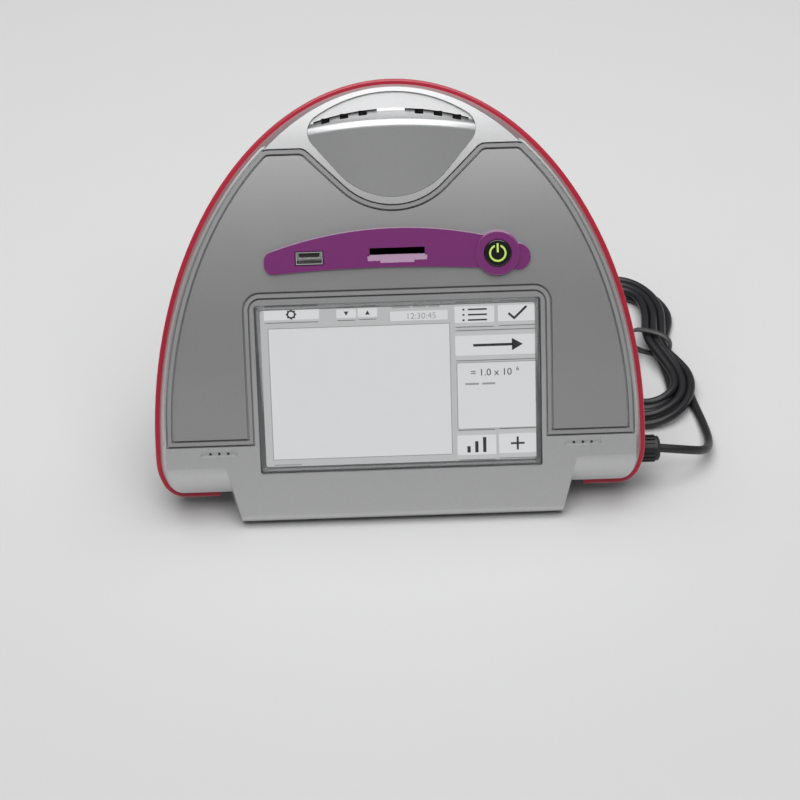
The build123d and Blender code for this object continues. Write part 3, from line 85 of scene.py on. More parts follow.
# Places along y at which the strands bend on their way to the tie and from it.
RISE_Y = 52.0
RIGHT_LOW_Y, LEFT_LOW_Y = 65.0, 64.0
RIGHT_HIGH_Y, LEFT_HIGH_Y = 99.5, 106.5
RIGHT_SHOULDER_Y = 110.5
RIGHT_WAY, LEFT_WAY = 0.5, 0.42     # how far those bends lie from one place to the next
RIGHT_BOW = 0.8
LOW_LEAN, HIGH_LEAN = 0.4, 0.5
LEFT_EASE = 3.0
LOW_EASE = (1.2, 11.0)
SIDE_HOLD = 8           # the right strands come down late, near the foot
TIE_CENTRE = (136.6, 82.0)
TIE_SLANT = 0.54        # the tie lies askew: its place falls by this much for each unit to the right
TIE_RUN = 5.5           # the strands run straight by this much on each side of the tie
QUARTER = (30, 60, 90)


def lobe_point(centre, side, crown, turn, hold=1):
    """A point of a turn between its widest place and its crown; hold keeps the side's height longer."""
    share = sin(radians(turn))
    x = centre[0] + (side[0] - centre[0]) * cos(radians(turn))
    y = centre[1] + (crown[0] - centre[1]) * share
    return (x, y, side[1] + (crown[1] - side[1]) * share ** hold)


def tie_y(place):
    """Where the slanting tie crosses a strand."""
    return TIE_CENTRE[1] - (place[0] - TIE_CENTRE[0]) * TIE_SLANT


def between(first, second, share, y, out=0.0):
    """A point part of the way between two places, moved sideways by out."""
    x, height = (a + (b - a) * share for a, b in zip(first, second))
    return (x + out, y, height)


def hank_turn(turn):
    """One turn: up the right of the lower lobe, through the tie, round the upper lobe and back."""
    low, tied, side, crown = LOWER_RIGHT[turn], TIED_RIGHT[turn], UPPER_RIGHT[turn], UPPER_TOP[turn]
    points = [(low[0] - LOW_LEAN, RISE_Y, low[1])]
    points.append(between(low, tied, RIGHT_WAY, RIGHT_LOW_Y, out=RIGHT_BOW))
    points += [(tied[0], tie_y(tied) - TIE_RUN, tied[1]), (tied[0], tie_y(tied) + TIE_RUN, tied[1])]
    points.append(between(tied, side, RIGHT_WAY, RIGHT_HIGH_Y))
    points += [(side[0] - HIGH_LEAN, RIGHT_SHOULDER_Y, side[1]), (side[0], UPPER_YS[turn], side[1])]
    last = turn == len(LOWER_LEFT)
    centre = (UPPER_LAST_X if last else (side[0] + UPPER_LEFT[turn][0]) / 2, UPPER_YS[turn])
    points += [lobe_point(centre, side, crown, angle) for angle in QUARTER]
    if last:
        return points
    side, tied, low = UPPER_LEFT[turn], TIED_LEFT[turn], LOWER_LEFT[turn]
    points += [lobe_point(centre, side, crown, angle) for angle in QUARTER[1::-1]]
    points += [(side[0], UPPER_YS[turn] - LEFT_EASE, side[1]), between(side, tied, LEFT_WAY, LEFT_HIGH_Y)]
    points += [(tied[0], tie_y(tied), tied[1]), between(tied, low, LEFT_WAY, LEFT_LOW_Y)]
    points += [(low[0] + LOW_EASE[0], LOWER_YS[turn] + LOW_EASE[1], low[1]),
               (low[0], LOWER_YS[turn], low[1])]
    foot, right = LOWER_FOOT[turn], LOWER_RIGHT[turn + 1]
    centre = ((low[0] + right[0]) / 2, LOWER_YS[turn])
    points += [lobe_point(centre, low, foot, angle) for angle in QUARTER]
    points += [lobe_point(centre, right, foot, angle, hold=SIDE_HOLD) for angle in QUARTER[1::-1]]
    points.append((right[0], LOWER_YS[turn], right[1]))
    return points


# The last turn leaves over the left of the upper lobe and ends in the connector.
LAST_RUN = (
    (113.2, 141.4, 8.8), (107.0, 135.8, 9.2), (103.6, 127.8, 8.0), (97.5, 121.7, 6.7), (88.5, 120.0, 6.1),
)
route = list(FREE_RUN) + [(LOWER_RIGHT[0][0], LOWER_YS[0], LOWER_RIGHT[0][1])]
for turn in range(len(UPPER_TOP)):
    route += hank_turn(turn)
route += LAST_RUN
# One smoothing pass: each point moves towards the middle of its neighbours.
route = route[:1] + [tuple((a + 2 * b + c) / 4 for a, b, c in zip(*three))
                     for three in zip(route, route[1:], route[2:])] + route[-1:]


def curve_along(name, points, radius):
    """A round tube of a radius in metres on one smooth spline, its points given in millimetres."""
    data = bpy.data.curves.new(name, "CURVE")
    data.dimensions = "3D"
    data.bevel_depth = radius
    data.bevel_resolution = 5
    data.resolution_u = 10
    data.use_fill_caps = True
    spline = data.splines.new("NURBS")
    spline.points.add(len(points) - 1)
    for point, place in zip(spline.points, points):
        point.co = (place[0] / 1000, place[1] / 1000, place[2] / 1000, 1.0)
    spline.order_u = 3
    spline.use_endpoint_u = True
    piece = bpy.data.objects.new(name, data)
    bpy.context.collection.objects.link(piece)
    return piece


def new_finish(name, colour, roughness, metallic=0.0, specular=0.5, coat=0.0, coat_roughness=0.1):
    """A material with its constant values on the shader's own sockets."""
    material = bpy.data.materials.new(name)
    material.use_nodes = True
    shader = material.node_tree.nodes["Principled BSDF"]
    shader.inputs["Base Color"].default_value = colour
    shader.inputs["Roughness"].default_value = roughness
    shader.inputs["Metallic"].default_value = metallic
    shader.inputs["Specular IOR Level"].default_value = specular
    shader.inputs["Coat Weight"].default_value = coat
    shader.inputs["Coat Roughness"].default_value = coat_roughness
    return material


def moulded_skin_group():
    """Fine unevenness of a moulded or lacquered skin: its colour, roughness and height vary a little."""
    group = bpy.data.node_groups.new("moulded_skin", "ShaderNodeTree")
    face = group.interface
    inputs = (("Colour", "NodeSocketColor", (0.5, 0.5, 0.5, 1)), ("Mottle", "NodeSocketFloat", 0.1),
              ("Grain Scale", "NodeSocketFloat", 900.0), ("Roughness", "NodeSocketFloat", 0.5),
              ("Roughness Spread", "NodeSocketFloat", 0.1))
    for name, kind, value in inputs:
        socket = face.new_socket(name, in_out="INPUT", socket_type=kind)
        socket.default_value = value
    face.new_socket("Colour", in_out="OUTPUT", socket_type="NodeSocketColor")
    face.new_socket("Roughness", in_out="OUTPUT", socket_type="NodeSocketFloat")
    face.new_socket("Height", in_out="OUTPUT", socket_type="NodeSocketFloat")
    nodes, links = group.nodes, group.links
    given, result = nodes.new("NodeGroupInput"), nodes.new("NodeGroupOutput")
    place = nodes.new("ShaderNodeTexCoord")
    grain = nodes.new("ShaderNodeTexNoise")
    grain.inputs["Detail"].default_value = 2.0
    links.new(place.outputs["Object"], grain.inputs["Vector"])
    links.new(given.outputs["Grain Scale"], grain.inputs["Scale"])
    cloud = nodes.new("ShaderNodeTexNoise")
    cloud.inputs["Scale"].default_value = 22.0
    cloud.inputs["Detail"].default_value = 3.0
    links.new(place.outputs["Object"], cloud.inputs["Vector"])
    swing = nodes.new("ShaderNodeMath")
    swing.operation = "ADD"
    links.new(grain.outputs["Fac"], swing.inputs[0])
    links.new(cloud.outputs["Fac"], swing.inputs[1])
    centred = nodes.new("ShaderNodeMath")
    centred.operation = "SUBTRACT"
    centred.inputs[1].default_value = 1.0
    links.new(swing.outputs[0], centred.inputs[0])
    shade = nodes.new("ShaderNodeMath")
    shade.operation = "MULTIPLY_ADD"
    shade.inputs[2].default_value = 1.0
    links.new(centred.outputs[0], shade.inputs[0])
    links.new(given.outputs["Mottle"], shade.inputs[1])
    tint = nodes.new("ShaderNodeVectorMath")
    tint.operation = "SCALE"
    links.new(given.outputs["Colour"], tint.inputs[0])
    links.new(shade.outputs[0], tint.inputs["Scale"])
    links.new(tint.outputs["Vector"], result.inputs["Colour"])
    rough = nodes.new("ShaderNodeMath")
    rough.operation = "MULTIPLY_ADD"
    links.new(centred.outputs[0], rough.inputs[0])
    links.new(given.outputs["Roughness Spread"], rough.inputs[1])
    links.new(given.outputs["Roughness"], rough.inputs[2])
    links.new(rough.outputs[0], result.inputs["Roughness"])
    links.new(grain.outputs["Fac"], result.inputs["Height"])
    return group


moulded_skin = moulded_skin_group()


def add_skin(material, mottle, grain_scale, spread, bump):
    """Places the moulded skin in the material, with a bump of the given depth in metres."""
    nodes, links = material.node_tree.nodes, material.node_tree.links
    shader = nodes["Principled BSDF"]
    skin = nodes.new("ShaderNodeGroup")
    skin.node_tree = moulded_skin
    skin.inputs["Colour"].default_value = shader.inputs["Base Color"].default_value
    skin.inputs["Roughness"].default_value = shader.inputs["Roughness"].default_value
    skin.inputs["Mottle"].default_value = mottle
    skin.inputs["Grain Scale"].default_value = grain_scale
    skin.inputs["Roughness Spread"].default_value = spread
    links.new(skin.outputs["Colour"], shader.inputs["Base Color"])
    links.new(skin.outputs["Roughness"], shader.inputs["Roughness"])
    relief = nodes.new("ShaderNodeBump")
    relief.inputs["Distance"].default_value = bump
    relief.inputs["Strength"].default_value = 0.5
    links.new(skin.outputs["Height"], relief.inputs["Height"])
    links.new(relief.outputs["Normal"], shader.inputs["Normal"])
    return material


def dress(node, material):
    """Gives a piece of the frame its finish."""
    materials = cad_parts[node].data.materials
    materials.clear()
    materials.append(material)


lead_rubber = add_skin(new_finish("lead_rubber", LEAD_BLACK, 0.38), mottle=0.3, grain_scale=700.0,
                       spread=0.15, bump=0.00002)
lead = curve_along("lead", route, LEAD_RADIUS)
lead.data.materials.append(lead_rubber)
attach(lead, "housing")
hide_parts("power_cord", "cord_hank")

# Tie of the hank. A flat nylon strap goes once round the bundle of strands and stands askew
# to it.
TIE_WIDTH = 0.0034
TIE_THICK = 0.0012
TIE_SPAN = 0.0246       # outside width along the strap's slanted line
TIE_HEIGHT = 0.0146
TIE_STEPS = 72
TIE_SQUARENESS = 2.6    # 2 is an ellipse, and a larger power fills the corners
# Section of the strap as shares of half its width and of its thickness, with rounded edges.
TIE_SECTION = ((-1, 0.15), (-0.8, 1), (0.8, 1), (1, 0.15), (0.8, 0), (-0.8, 0))
TIE_GREY = (0.075, 0.075, 0.077, 1.0)


def tie_strap():
    """Closed strap whose outline is an ellipse with filled corners."""
    half_x, half_z = TIE_SPAN / 2 - TIE_THICK, TIE_HEIGHT / 2 - TIE_THICK
    mesh = bmesh.new()
    rings = []
    for step in range(TIE_STEPS):
        turn = 2 * pi * step / TIE_STEPS
        powers = abs(cos(turn)) ** TIE_SQUARENESS + abs(sin(turn)) ** TIE_SQUARENESS
        squared = powers ** (-1 / TIE_SQUARENESS)
        place = Vector((half_x * squared * cos(turn), 0, half_z * squared * sin(turn)))
        out = Vector((cos(turn) / half_x, 0, sin(turn) / half_z)).normalized()
        rings.append([mesh.verts.new(place + out * TIE_THICK * deep + Vector((0, y * TIE_WIDTH / 2, 0)))
                      for y, deep in TIE_SECTION])
    for ring, after in zip(rings, rings[1:] + rings[:1]):
        for corner in range(len(TIE_SECTION)):
            near = (corner + 1) % len(TIE_SECTION)
            mesh.faces.new((ring[corner], ring[near], after[near], after[corner]))
    bmesh.ops.recalc_face_normals(mesh, faces=mesh.faces)
    data = bpy.data.meshes.new("tie_strap")
    mesh.to_mesh(data)
    mesh.free()
    data.shade_smooth()
    piece = bpy.data.objects.new("tie_strap", data)
    bpy.context.collection.objects.link(piece)
    place = Vector((TIE_CENTRE[0] / 1000, TIE_CENTRE[1] / 1000, TIE_HEIGHT / 2))
    piece.matrix_world = Matrix.Translation(place) @ Matrix.Rotation(-atan(TIE_SLANT), 4, "Z")
    return piece


tie_nylon = add_skin(new_finish("tie_nylon", TIE_GREY, 0.42), mottle=0.2, grain_scale=600.0, spread=0.1,
                     bump=0.00002)
tie = tie_strap()
tie.data.materials.append(tie_nylon)
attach(tie, "housing")
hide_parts("cable_tie")

# Plug and its ribbed coupling ring, and the connector on the lead's far end. They are moulded
# in black nylon, matt from the spark-eroded mould.
NYLON_BLACK = (0.014, 0.014, 0.015, 1.0)
plug_nylon = add_skin(new_finish("plug_nylon", NYLON_BLACK, 0.46), mottle=0.35, grain_scale=1400.0,
                      spread=0.15, bump=0.00003)
for node in ("power_plug", "coupling_ring", "end_plug", "power_socket"):
    dress(node, plug_nylon)

# Silver housings. The front shell, the hood and the rear cover are moulded in ABS and sprayed
# with a silver lacquer, whose fine flakes sparkle a little from close by.
SILVER = (0.57, 0.573, 0.577, 1.0)
FLAKE_SCALE = 5200.0
FLAKE_TONES = (0.93, 1.07)


def flake_lacquer(name, colour, roughness, metallic):
    """Silver lacquer: cells of flake size vary its tone by very little."""
    material = new_finish(name, colour, roughness, metallic=metallic, coat=0.15, coat_roughness=0.25)
    add_skin(material, mottle=0.03, grain_scale=1800.0, spread=0.06, bump=0.000012)
    nodes, links = material.node_tree.nodes, material.node_tree.links
    shader = nodes["Principled BSDF"]
    place = nodes.new("ShaderNodeTexCoord")
    flakes = nodes.new("ShaderNodeTexVoronoi")
    flakes.inputs["Scale"].default_value = FLAKE_SCALE
    links.new(place.outputs["Object"], flakes.inputs["Vector"])
    tone = nodes.new("ShaderNodeMapRange")
    tone.inputs["To Min"].default_value, tone.inputs["To Max"].default_value = FLAKE_TONES
    links.new(flakes.outputs["Color"], tone.inputs["Value"])
    blend = nodes.new("ShaderNodeVectorMath")
    blend.operation = "SCALE"
    skin = next(n for n in nodes if n.type == "GROUP")
    links.new(skin.outputs["Colour"], blend.inputs[0])
    links.new(tone.outputs["Result"], blend.inputs["Scale"])
    links.new(blend.outputs["Vector"], shader.inputs["Base Color"])
    return material


silver = flake_lacquer("silver_lacquer", SILVER, 0.36, 0.72)
for node in ("front_shell", "rear_cover", "vent_hood"):
    dress(node, silver)

# Trim band. It is a separate red moulding between the two housings, clipped into both.
TRIM_RED = (0.46, 0.020, 0.045, 1.0)
dress("trim_ring", add_skin(new_finish("red_moulding", TRIM_RED, 0.34, coat=0.3), mottle=0.06,
                            grain_scale=1200.0, spread=0.08, bump=0.00001))

# Dark panel and the bead round it. The panel is a thin curved moulding in a darker lacquer, and
# the bead is a soft grey profile pressed into the recess.
PANEL_GREY = (0.40, 0.40, 0.403, 1.0)
BEAD_GREY = (0.30, 0.30, 0.303, 1.0)
dress("control_panel", flake_lacquer("panel_lacquer", PANEL_GREY, 0.45, 0.75))
dress("panel_bead", add_skin(new_finish("bead_profile", BEAD_GREY, 0.36), mottle=0.05, grain_scale=1200.0,
                             spread=0.06, bump=0.00001))

# Port strip. A thin escutcheon in deep purple, dyed in the mass and polished, carries the raised
# collar of the power button.
PURPLE = (0.20, 0.034, 0.170, 1.0)
purple_gloss = new_finish("purple_gloss", PURPLE, 0.16, coat=0.8, coat_roughness=0.04)
dress("port_escutcheon", add_skin(purple_gloss, mottle=0.05, grain_scale=300.0, spread=0.04, bump=0.000004))

# Power button. A glossy black cap with a concave face and a light guide in it that glows
# yellowish green.
BUTTON_BLACK = (0.010, 0.010, 0.011, 1.0)
LEGEND_GLOW = (0.50, 0.70, 0.14, 1.0)
button_gloss = new_finish("button_gloss", BUTTON_BLACK, 0.12, coat=0.6, coat_roughness=0.03)
dress("power_button", add_skin(button_gloss, mottle=0.2, grain_scale=400.0, spread=0.03, bump=0.000003))
legend_glow = add_skin(new_finish("legend_glow", LEGEND_GLOW, 0.3), mottle=0.1, grain_scale=500.0,
                       spread=0.05, bump=0.000005)
legend_shader = legend_glow.node_tree.nodes["Principled BSDF"]
legend_shader.inputs["Emission Color"].default_value = LEGEND_GLOW
legend_shader.inputs["Emission Strength"].default_value = 0.22
dress("button_legend", legend_glow)

# Memory stick socket. A folded shell of nickel-plated steel round a black insulator.
NICKEL = (0.80, 0.80, 0.79, 1.0)
nickel = add_skin(new_finish("nickel_plate", NICKEL, 0.42, metallic=1.0), mottle=0.08, grain_scale=900.0,
                  spread=0.1, bump=0.000006)
dress("usb_shell", nickel)
MOULDING_BLACK = (0.016, 0.016, 0.017, 1.0)
black_moulding = add_skin(new_finish("black_moulding", MOULDING_BLACK, 0.5), mottle=0.3, grain_scale=1100.0,
                          spread=0.12, bump=0.00002)
for node in ("usb_tongue", "slide_guide", "slide_carriage", "button_switch", "speakers"):
    dress(node, black_moulding)

# Screen glass. A hard-coated touch panel lies just below the surround; its anti-glare coat
# softens what it mirrors.
glass_coat = new_finish("screen_glass", (0.97, 0.98, 0.98, 1.0), 0.08, specular=0.5)
glass_shader = glass_coat.node_tree.nodes["Principled BSDF"]
glass_shader.inputs["Transmission Weight"].default_value = 1.0
glass_shader.inputs["IOR"].default_value = 1.12
glass_nodes, glass_links = glass_coat.node_tree.nodes, glass_coat.node_tree.links
frost = glass_nodes.new("ShaderNodeTexNoise")
frost.inputs["Scale"].default_value = 2500.0
frost_place = glass_nodes.new("ShaderNodeTexCoord")
glass_links.new(frost_place.outputs["Object"], frost.inputs["Vector"])
frost_range = glass_nodes.new("ShaderNodeMapRange")
frost_range.inputs["To Min"].default_value = 0.04
frost_range.inputs["To Max"].default_value = 0.10
glass_links.new(frost.outputs["Fac"], frost_range.inputs["Value"])
glass_links.new(frost_range.outputs["Result"], glass_shader.inputs["Roughness"])
dress("touch_glass", glass_coat)

# Display. The lit panel behind the glass shows a plain picture: a field of view at the left,
# and keys and a result box at the right. All its marks are generic signs and plain numbers.
FACE_LEAN = radians(15.0)
CHIN_EDGE = Vector((0.0, -0.070, 0.0026))
DISPLAY_DEEP = 0.0033       # face of the display below the screen face
LAYER_GAP = 0.00002         # the first layer of the picture lies this far above the display
LAYER_STEP = 0.00003
EDGE_LAYER, FIELD_LAYER, FACE_LAYER, MARK_LAYER = 1, 2, 3, 4
FACE_TURN = Matrix.Rotation(pi / 2 - FACE_LEAN, 4, "X")
FACE_PLACE = Matrix.Translation(CHIN_EDGE) @ FACE_TURN
DISPLAY_GAMMA = 2.2
RASTER_SCALE = 3600.0


def lit(name, level):
    """A patch of the display that shines with one grey level, softened by the pixel raster."""
    value = (level / 255) ** DISPLAY_GAMMA
    material = new_finish(name, (0.02, 0.02, 0.02, 1.0), 0.5)
    nodes, links = material.node_tree.nodes, material.node_tree.links
    shader = nodes["Principled BSDF"]
    place = nodes.new("ShaderNodeTexCoord")
    raster = nodes.new("ShaderNodeTexChecker")
    raster.inputs["Scale"].default_value = RASTER_SCALE
    raster.inputs["Color1"].default_value = (value, value, value * 1.01, 1.0)
    raster.inputs["Color2"].default_value = (value * 0.97, value * 0.97, value * 0.98, 1.0)
    links.new(place.outputs["Object"], raster.inputs["Vector"])
    links.new(raster.outputs["Color"], shader.inputs["Emission Color"])
    shader.inputs["Emission Strength"].default_value = 1.0
    return material


PAGE, FIELD, FAINT = lit("display_page", 179), lit("display_field", 208), lit("display_faint", 145)
KEY, KEY_SHADE = lit("display_key", 210), lit("display_key_shade", 184)
KEY_EDGE, INK = lit("display_key_edge", 110), lit("display_ink", 35)


def layer_height(layer):
    """Each layer of the picture lies a hair above the one below it."""
    return -DISPLAY_DEEP + LAYER_GAP + layer * LAYER_STEP


def patch(name, points, layer, material):
    """A flat many-sided patch of the picture, its corners given as x and u in millimetres."""
    mesh = bmesh.new()
    corners = [mesh.verts.new((x / 1000, u / 1000, layer_height(layer))) for x, u in points]
    mesh.faces.new(corners)
    data = bpy.data.meshes.new(name)
    mesh.to_mesh(data)
    mesh.free()
    piece = bpy.data.objects.new(name, data)
    bpy.context.collection.objects.link(piece)
    piece.matrix_world = FACE_PLACE
    piece.data.materials.append(material)
    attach(piece, "housing")


def corner_round(low, high, radius, steps=4):
    """Outline of a rectangle with round corners, from its low to its high corner."""
    points = []
    left, right, foot, head = low[0] + radius, high[0] - radius, low[1] + radius, high[1] - radius
    centres = ((right, head), (left, head), (left, foot), (right, foot))
    for corner, (centre_x, centre_u) in enumerate(centres):
        for step in range(steps + 1):
            turn = radians(90 * (corner + step / steps))
            points.append((centre_x + radius * cos(turn), centre_u + radius * sin(turn)))
    return points


def box_patch(name, x0, u0, x1, u1, layer, material, radius=0.3):
    """A rectangle of the picture with round corners."""
    patch(name, corner_round((x0, u0), (x1, u1), radius), layer, material)


dress("lcd_panel", PAGE)
KEY_RISE = 0.16         # share of a key's height that its shaded foot takes, and its head


def key(name, x0, u0, x1, u1):
    """A raised key: shaded foot and head, a lighter middle, and a dark line above and below."""
    box_patch(name + "_edge", x0, u0, x1, u1, EDGE_LAYER, KEY_EDGE, 0.9)
    box_patch(name + "_shade", x0 - 0.15, u0 + 0.45, x1 + 0.15, u1 - 0.45, FIELD_LAYER, KEY_SHADE, 0.7)
    rise = (u1 - u0) * KEY_RISE
    box_patch(name + "_face", x0 - 0.1, u0 + rise + 0.3, x1 + 0.1, u1 - rise - 0.3, FACE_LAYER, KEY, 0.6)


KEYS = {
    "gear_key": (-63.0, 99.6, -37.1, 108.0), "down_key": (-28.7, 99.8, -19.6, 106.8),
    "up_key": (-18.6, 100.0, -9.6, 107.0), "list_key": (27.2, 94.6, 45.8, 107.3),
    "tick_key": (47.7, 94.8, 65.6, 107.3), "next_key": (27.2, 78.0, 65.6, 93.3),
    "more_key": (27.2, 28.3, 45.7, 43.7), "sum_key": (47.2, 28.6, 65.0, 43.9),
}
for name, corners in KEYS.items():
    key(name, *corners)
box_patch("field_edge", -61.6, 31.5, 24.8, 97.2, EDGE_LAYER, FAINT, 0.3)
box_patch("field_view", -61.2, 31.9, 24.4, 96.8, FIELD_LAYER, FIELD, 0.2)
box_patch("clock_field", -3.4, 98.9, 23.8, 103.6, FIELD_LAYER, FIELD, 0.3)
box_patch("result_edge", 27.4, 43.9, 65.9, 77.4, EDGE_LAYER, FAINT, 1.0)
box_patch("result_box", 27.8, 44.3, 65.5, 77.0, FIELD_LAYER, FIELD, 0.8)


def triangle(name, x, u, size, up):
    """A small triangle that points up or down."""
    tip = size if up else -size
    corners = [(x - size * 0.8, u - tip * 0.7), (x + size * 0.8, u - tip * 0.7), (x, u + tip * 0.8)]
    patch(name, corners if up else corners[::-1], MARK_LAYER, INK)


def stroke(name, x0, u0, x1, u1, width, material):
    """A straight line of the picture, with its given width."""
    along = Vector((x1 - x0, u1 - u0)).normalized()
    side = Vector((-along.y, along.x)) * width / 2
    patch(name, [(x0 - side.x, u0 - side.y), (x1 - side.x, u1 - side.y), (x1 + side.x, u1 + side.y),
                 (x0 + side.x, u0 + side.y)], MARK_LAYER, material)


RING_STEPS = 20
RING_OVERLAP = 1.08         # each stroke of a ring runs on a little under the next
TOOTH_REACH = 1.45
TOOTH_WIDTH = 1.1


def ring_patch(name, x, u, radius, width, material, teeth):
    """A gear wheel drawn as short strokes."""
    def at(reach, turn):
        return x + reach * cos(turn), u + reach * sin(turn)
    for step in range(RING_STEPS):
        start, end = 2 * pi * step / RING_STEPS, 2 * pi * (step + RING_OVERLAP) / RING_STEPS
        stroke(f"{name}_{step}", *at(radius, start), *at(radius, end), width, material)
    for tooth in range(teeth):
        turn = 2 * pi * tooth / teeth
        stroke(f"{name}_tooth_{tooth}", *at(radius, turn), *at(radius * TOOTH_REACH, turn),
               width * TOOTH_WIDTH, material)


ring_patch("gear_sign", -50.2, 103.8, 1.7, 0.75, INK, teeth=8)
triangle("down_sign", -24.2, 103.4, 1.4, False)
triangle("up_sign", -14.1, 103.5, 1.4, True)
for row in range(3):
    stroke(f"list_sign_{row}", 33.4, 103.4 - row * 2.6, 42.4, 103.4 - row * 2.6, 0.8, INK)
    stroke(f"list_dot_{row}", 30.8, 103.4 - row * 2.6, 31.8, 103.4 - row * 2.6, 0.9, INK)
stroke("tick_sign_short", 52.6, 101.0, 55.4, 98.4, 1.1, INK)
stroke("tick_sign_long", 55.0, 98.2, 61.2, 104.2, 1.1, INK)
stroke("next_sign_shaft", 35.6, 85.7, 55.0, 85.7, 1.3, INK)
patch("next_sign_head", [(54.0, 82.6), (59.2, 85.7), (54.0, 88.8)], MARK_LAYER, INK)
for column, height in enumerate((3.2, 5.6, 7.6)):
    stroke(f"more_sign_{column}", 32.6 + column * 3.8, 32.2, 32.6 + column * 3.8, 32.2 + height, 1.6, INK)
stroke("sum_sign_level", 52.8, 36.2, 59.4, 36.2, 1.0, INK)
stroke("sum_sign_upright", 56.1, 32.9, 56.1, 39.5, 1.0, INK)


def digits(name, text, x, u, size, material):
    """Plain numbers of the picture, drawn with the plain built-in letters."""
    data = bpy.data.curves.new(name, "FONT")
    data.body = text
    data.size = size / 1000
    data.align_x = "LEFT"
    data.materials.append(material)
    piece = bpy.data.objects.new(name, data)
    bpy.context.collection.objects.link(piece)
    piece.matrix_world = FACE_PLACE @ Matrix.Translation((x / 1000, u / 1000, layer_height(MARK_LAYER)))
    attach(piece, "housing")


digits("clock_numbers", "12:30:45", 4.0, 99.7, 4.2, FAINT)
digits("result_numbers", "= 1.0 x 10", 34.0, 70.6, 4.8, INK)
digits("result_power", "6", 55.8, 72.6, 3.0, INK)
for row, (left, right) in enumerate(((31.5, 38.0), (39.6, 45.8))):
    stroke(f"result_note_{row}", left, 66.6, right, 66.6, 1.0, FAINT)
for row, (left, right) in enumerate(((-2.6, 6.2), (7.4, 13.6), (14.8, 20.0))):
    stroke(f"clock_note_{row}", left, 105.6, right, 105.6, 0.8, FAINT)
stroke("field_note", -61.0, 29.0, -48.0, 29.0, 0.7, FAINT)

# Seal of the screen. A frame of grey foam closes the gap between the glass and the display.
dress("display_gasket", add_skin(new_finish("seal_foam", (0.20, 0.20, 0.203, 1.0), 0.9), mottle=0.4,
                                 grain_scale=2500.0, spread=0.1, bump=0.00006))

# Sheet and turned parts. Tray, base plate and stand-offs are zinc-plated steel; screws, rods and
# springs are bright steel; the chassis and the lens tube are milled from aluminium.
ZINC, STEEL, ALLOY = (0.50, 0.51, 0.52, 1.0), (0.56, 0.56, 0.57, 1.0), (0.62, 0.63, 0.65, 1.0)
zinc = add_skin(new_finish("zinc_sheet", ZINC, 0.36, metallic=1.0), mottle=0.12,
                grain_scale=260.0, spread=0.12, bump=0.00001)
bright = add_skin(new_finish("bright_steel", STEEL, 0.24, metallic=1.0), mottle=0.08,
                  grain_scale=1500.0, spread=0.1, bump=0.000005)
milled = add_skin(new_finish("milled_alloy", ALLOY, 0.38, metallic=1.0), mottle=0.06,
                  grain_scale=800.0, spread=0.1, bump=0.00001)
for node in ("display_frame", "base_plate", "board_standoffs", "focus_motor"):
    dress(node, zinc)
for node in ("button_spring", "carriage_spring", "guide_rods", "focus_screw", "base_screws",
             "housing_screws"):
    dress(node, bright)
for node in ("optical_chassis", "lens_tube"):
    dress(node, milled)

# Boards and chips. Glass-fibre boards with a green lacquer, and black moulded chips on them.
board = add_skin(new_finish("board_lacquer", (0.012, 0.085, 0.035, 1.0), 0.3, coat=0.4), mottle=0.25,
                 grain_scale=500.0, spread=0.1, bump=0.00001)
for node in ("main_board", "port_board", "led_board", "camera_board"):
    dress(node, board)
dress("board_chips", black_moulding)

# Lenses. Ground and coated optical glass, clear, with a faint blue of its coat.
lens_glass = add_skin(new_finish("lens_glass", (0.93, 0.97, 1.0, 1.0), 0.02), mottle=0.02,
                      grain_scale=400.0, spread=0.02, bump=0.000001)
lens_glass.node_tree.nodes["Principled BSDF"].inputs["Transmission Weight"].default_value = 1.0
for node in ("condenser_lens", "objective_lens"):
    dress(node, lens_glass)

# Feet. Soft black rubber discs under the base plate.
dress("rubber_feet", add_skin(new_finish("foot_rubber", (0.018, 0.018, 0.018, 1.0), 0.7), mottle=0.3,
                              grain_scale=900.0, spread=0.1, bump=0.00004))

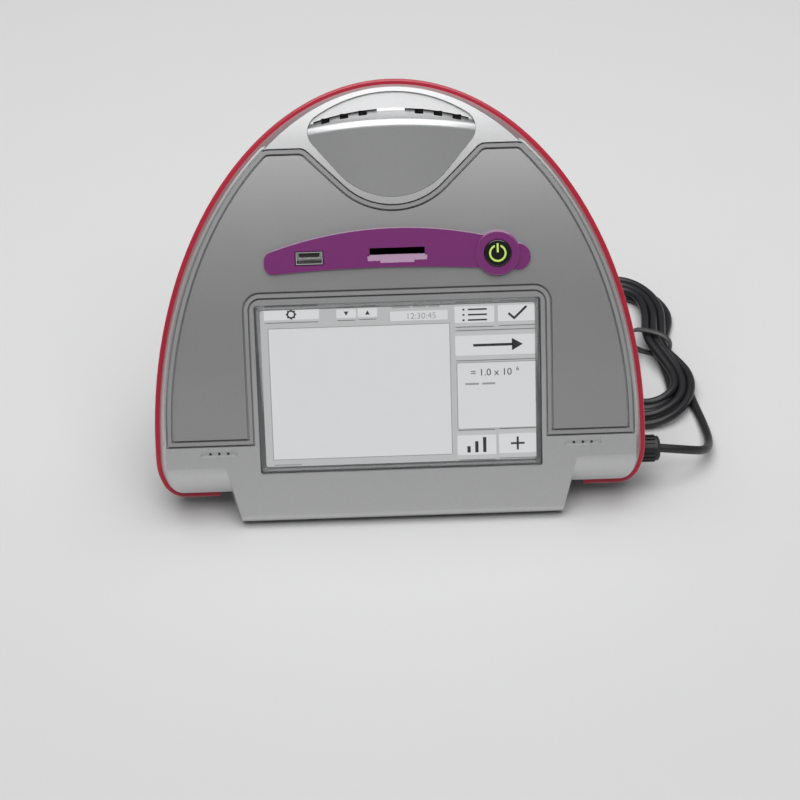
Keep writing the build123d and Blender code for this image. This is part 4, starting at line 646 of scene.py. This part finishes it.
# Floor and studio. A pale table top with painted light that makes it a little paler towards the back,
# a large soft light overhead and another high in front, and a dim surround, so that level surfaces are
# bright and the leaning front stays darker.
TABLE_PALE = (0.63, 0.63, 0.63, 1.0)
TABLE_FAR_PAINTED_LIGHT = (0.80, 0.80, 0.80, 1.0)
TABLE_PAINTED_LIGHT_FADE = (-0.25, 0.65)      # where it starts and ends along y, in metres
TABLE_SIZE = 8.0
table_mesh = bpy.data.meshes.new("table_top")
half = TABLE_SIZE / 2
table_corners = [(-half, -half, 0), (half, -half, 0), (half, half, 0), (-half, half, 0)]
table_mesh.from_pydata(table_corners, [], [(0, 1, 2, 3)])
table_top = bpy.data.objects.new("table_top", table_mesh)
bpy.context.collection.objects.link(table_top)
table_finish = add_skin(new_finish("table_paper", TABLE_PALE, 0.85, specular=0.2), mottle=0.012,
                        grain_scale=500.0, spread=0.05, bump=0.00002)
table_skin = next(n for n in table_finish.node_tree.nodes if n.type == "GROUP")
table_nodes, table_links = table_finish.node_tree.nodes, table_finish.node_tree.links
table_place = table_nodes.new("ShaderNodeTexCoord")
table_axes = table_nodes.new("ShaderNodeSeparateXYZ")
table_links.new(table_place.outputs["Object"], table_axes.inputs["Vector"])
# Painted light: the table's colour turns paler along y towards the back, standing in for the light that
# falls off on the far table.
table_painted_light_ramp = table_nodes.new("ShaderNodeMapRange")
table_painted_light_ramp.inputs["From Min"].default_value, table_painted_light_ramp.inputs["From Max"].default_value = TABLE_PAINTED_LIGHT_FADE
table_links.new(table_axes.outputs["Y"], table_painted_light_ramp.inputs["Value"])
table_painted_light_mix = table_nodes.new("ShaderNodeMix")
table_painted_light_mix.data_type = "RGBA"
table_painted_light_mix.inputs["A"].default_value = TABLE_PALE
table_painted_light_mix.inputs["B"].default_value = TABLE_FAR_PAINTED_LIGHT
table_links.new(table_painted_light_ramp.outputs["Result"], table_painted_light_mix.inputs["Factor"])
table_links.new(table_painted_light_mix.outputs["Result"], table_skin.inputs["Colour"])
table_mesh.materials.append(table_finish)


def soft_light(name, place, aim, width, depth, power):
    """A rectangular light turned to its aim; its size is in metres and its power in watts."""
    data = bpy.data.lights.new(name, "AREA")
    data.shape = "RECTANGLE"
    data.size, data.size_y = width, depth
    data.energy = power
    lamp = bpy.data.objects.new(name, data)
    bpy.context.collection.objects.link(lamp)
    lamp.location = place
    lamp.rotation_euler = (Vector(aim) - Vector(place)).to_track_quat("-Z", "Y").to_euler()


soft_light("overhead", (0.0, 0.10, 1.5), (0, 0, 0.05), 1.8, 1.4, 19.0)
soft_light("front_top", (0.0, -1.35, 1.85), (0, 0, 0.10), 2.4, 1.0, 26.0)
SURROUND_GREY = (0.11, 0.11, 0.112, 1.0)
world = bpy.data.worlds.new("studio")
bpy.context.scene.world = world
world.use_nodes = True
sky = world.node_tree.nodes["Background"]
sky.inputs["Color"].default_value = SURROUND_GREY
sky.inputs["Strength"].default_value = 1.0
bpy.context.scene.view_settings.view_transform = "Standard"
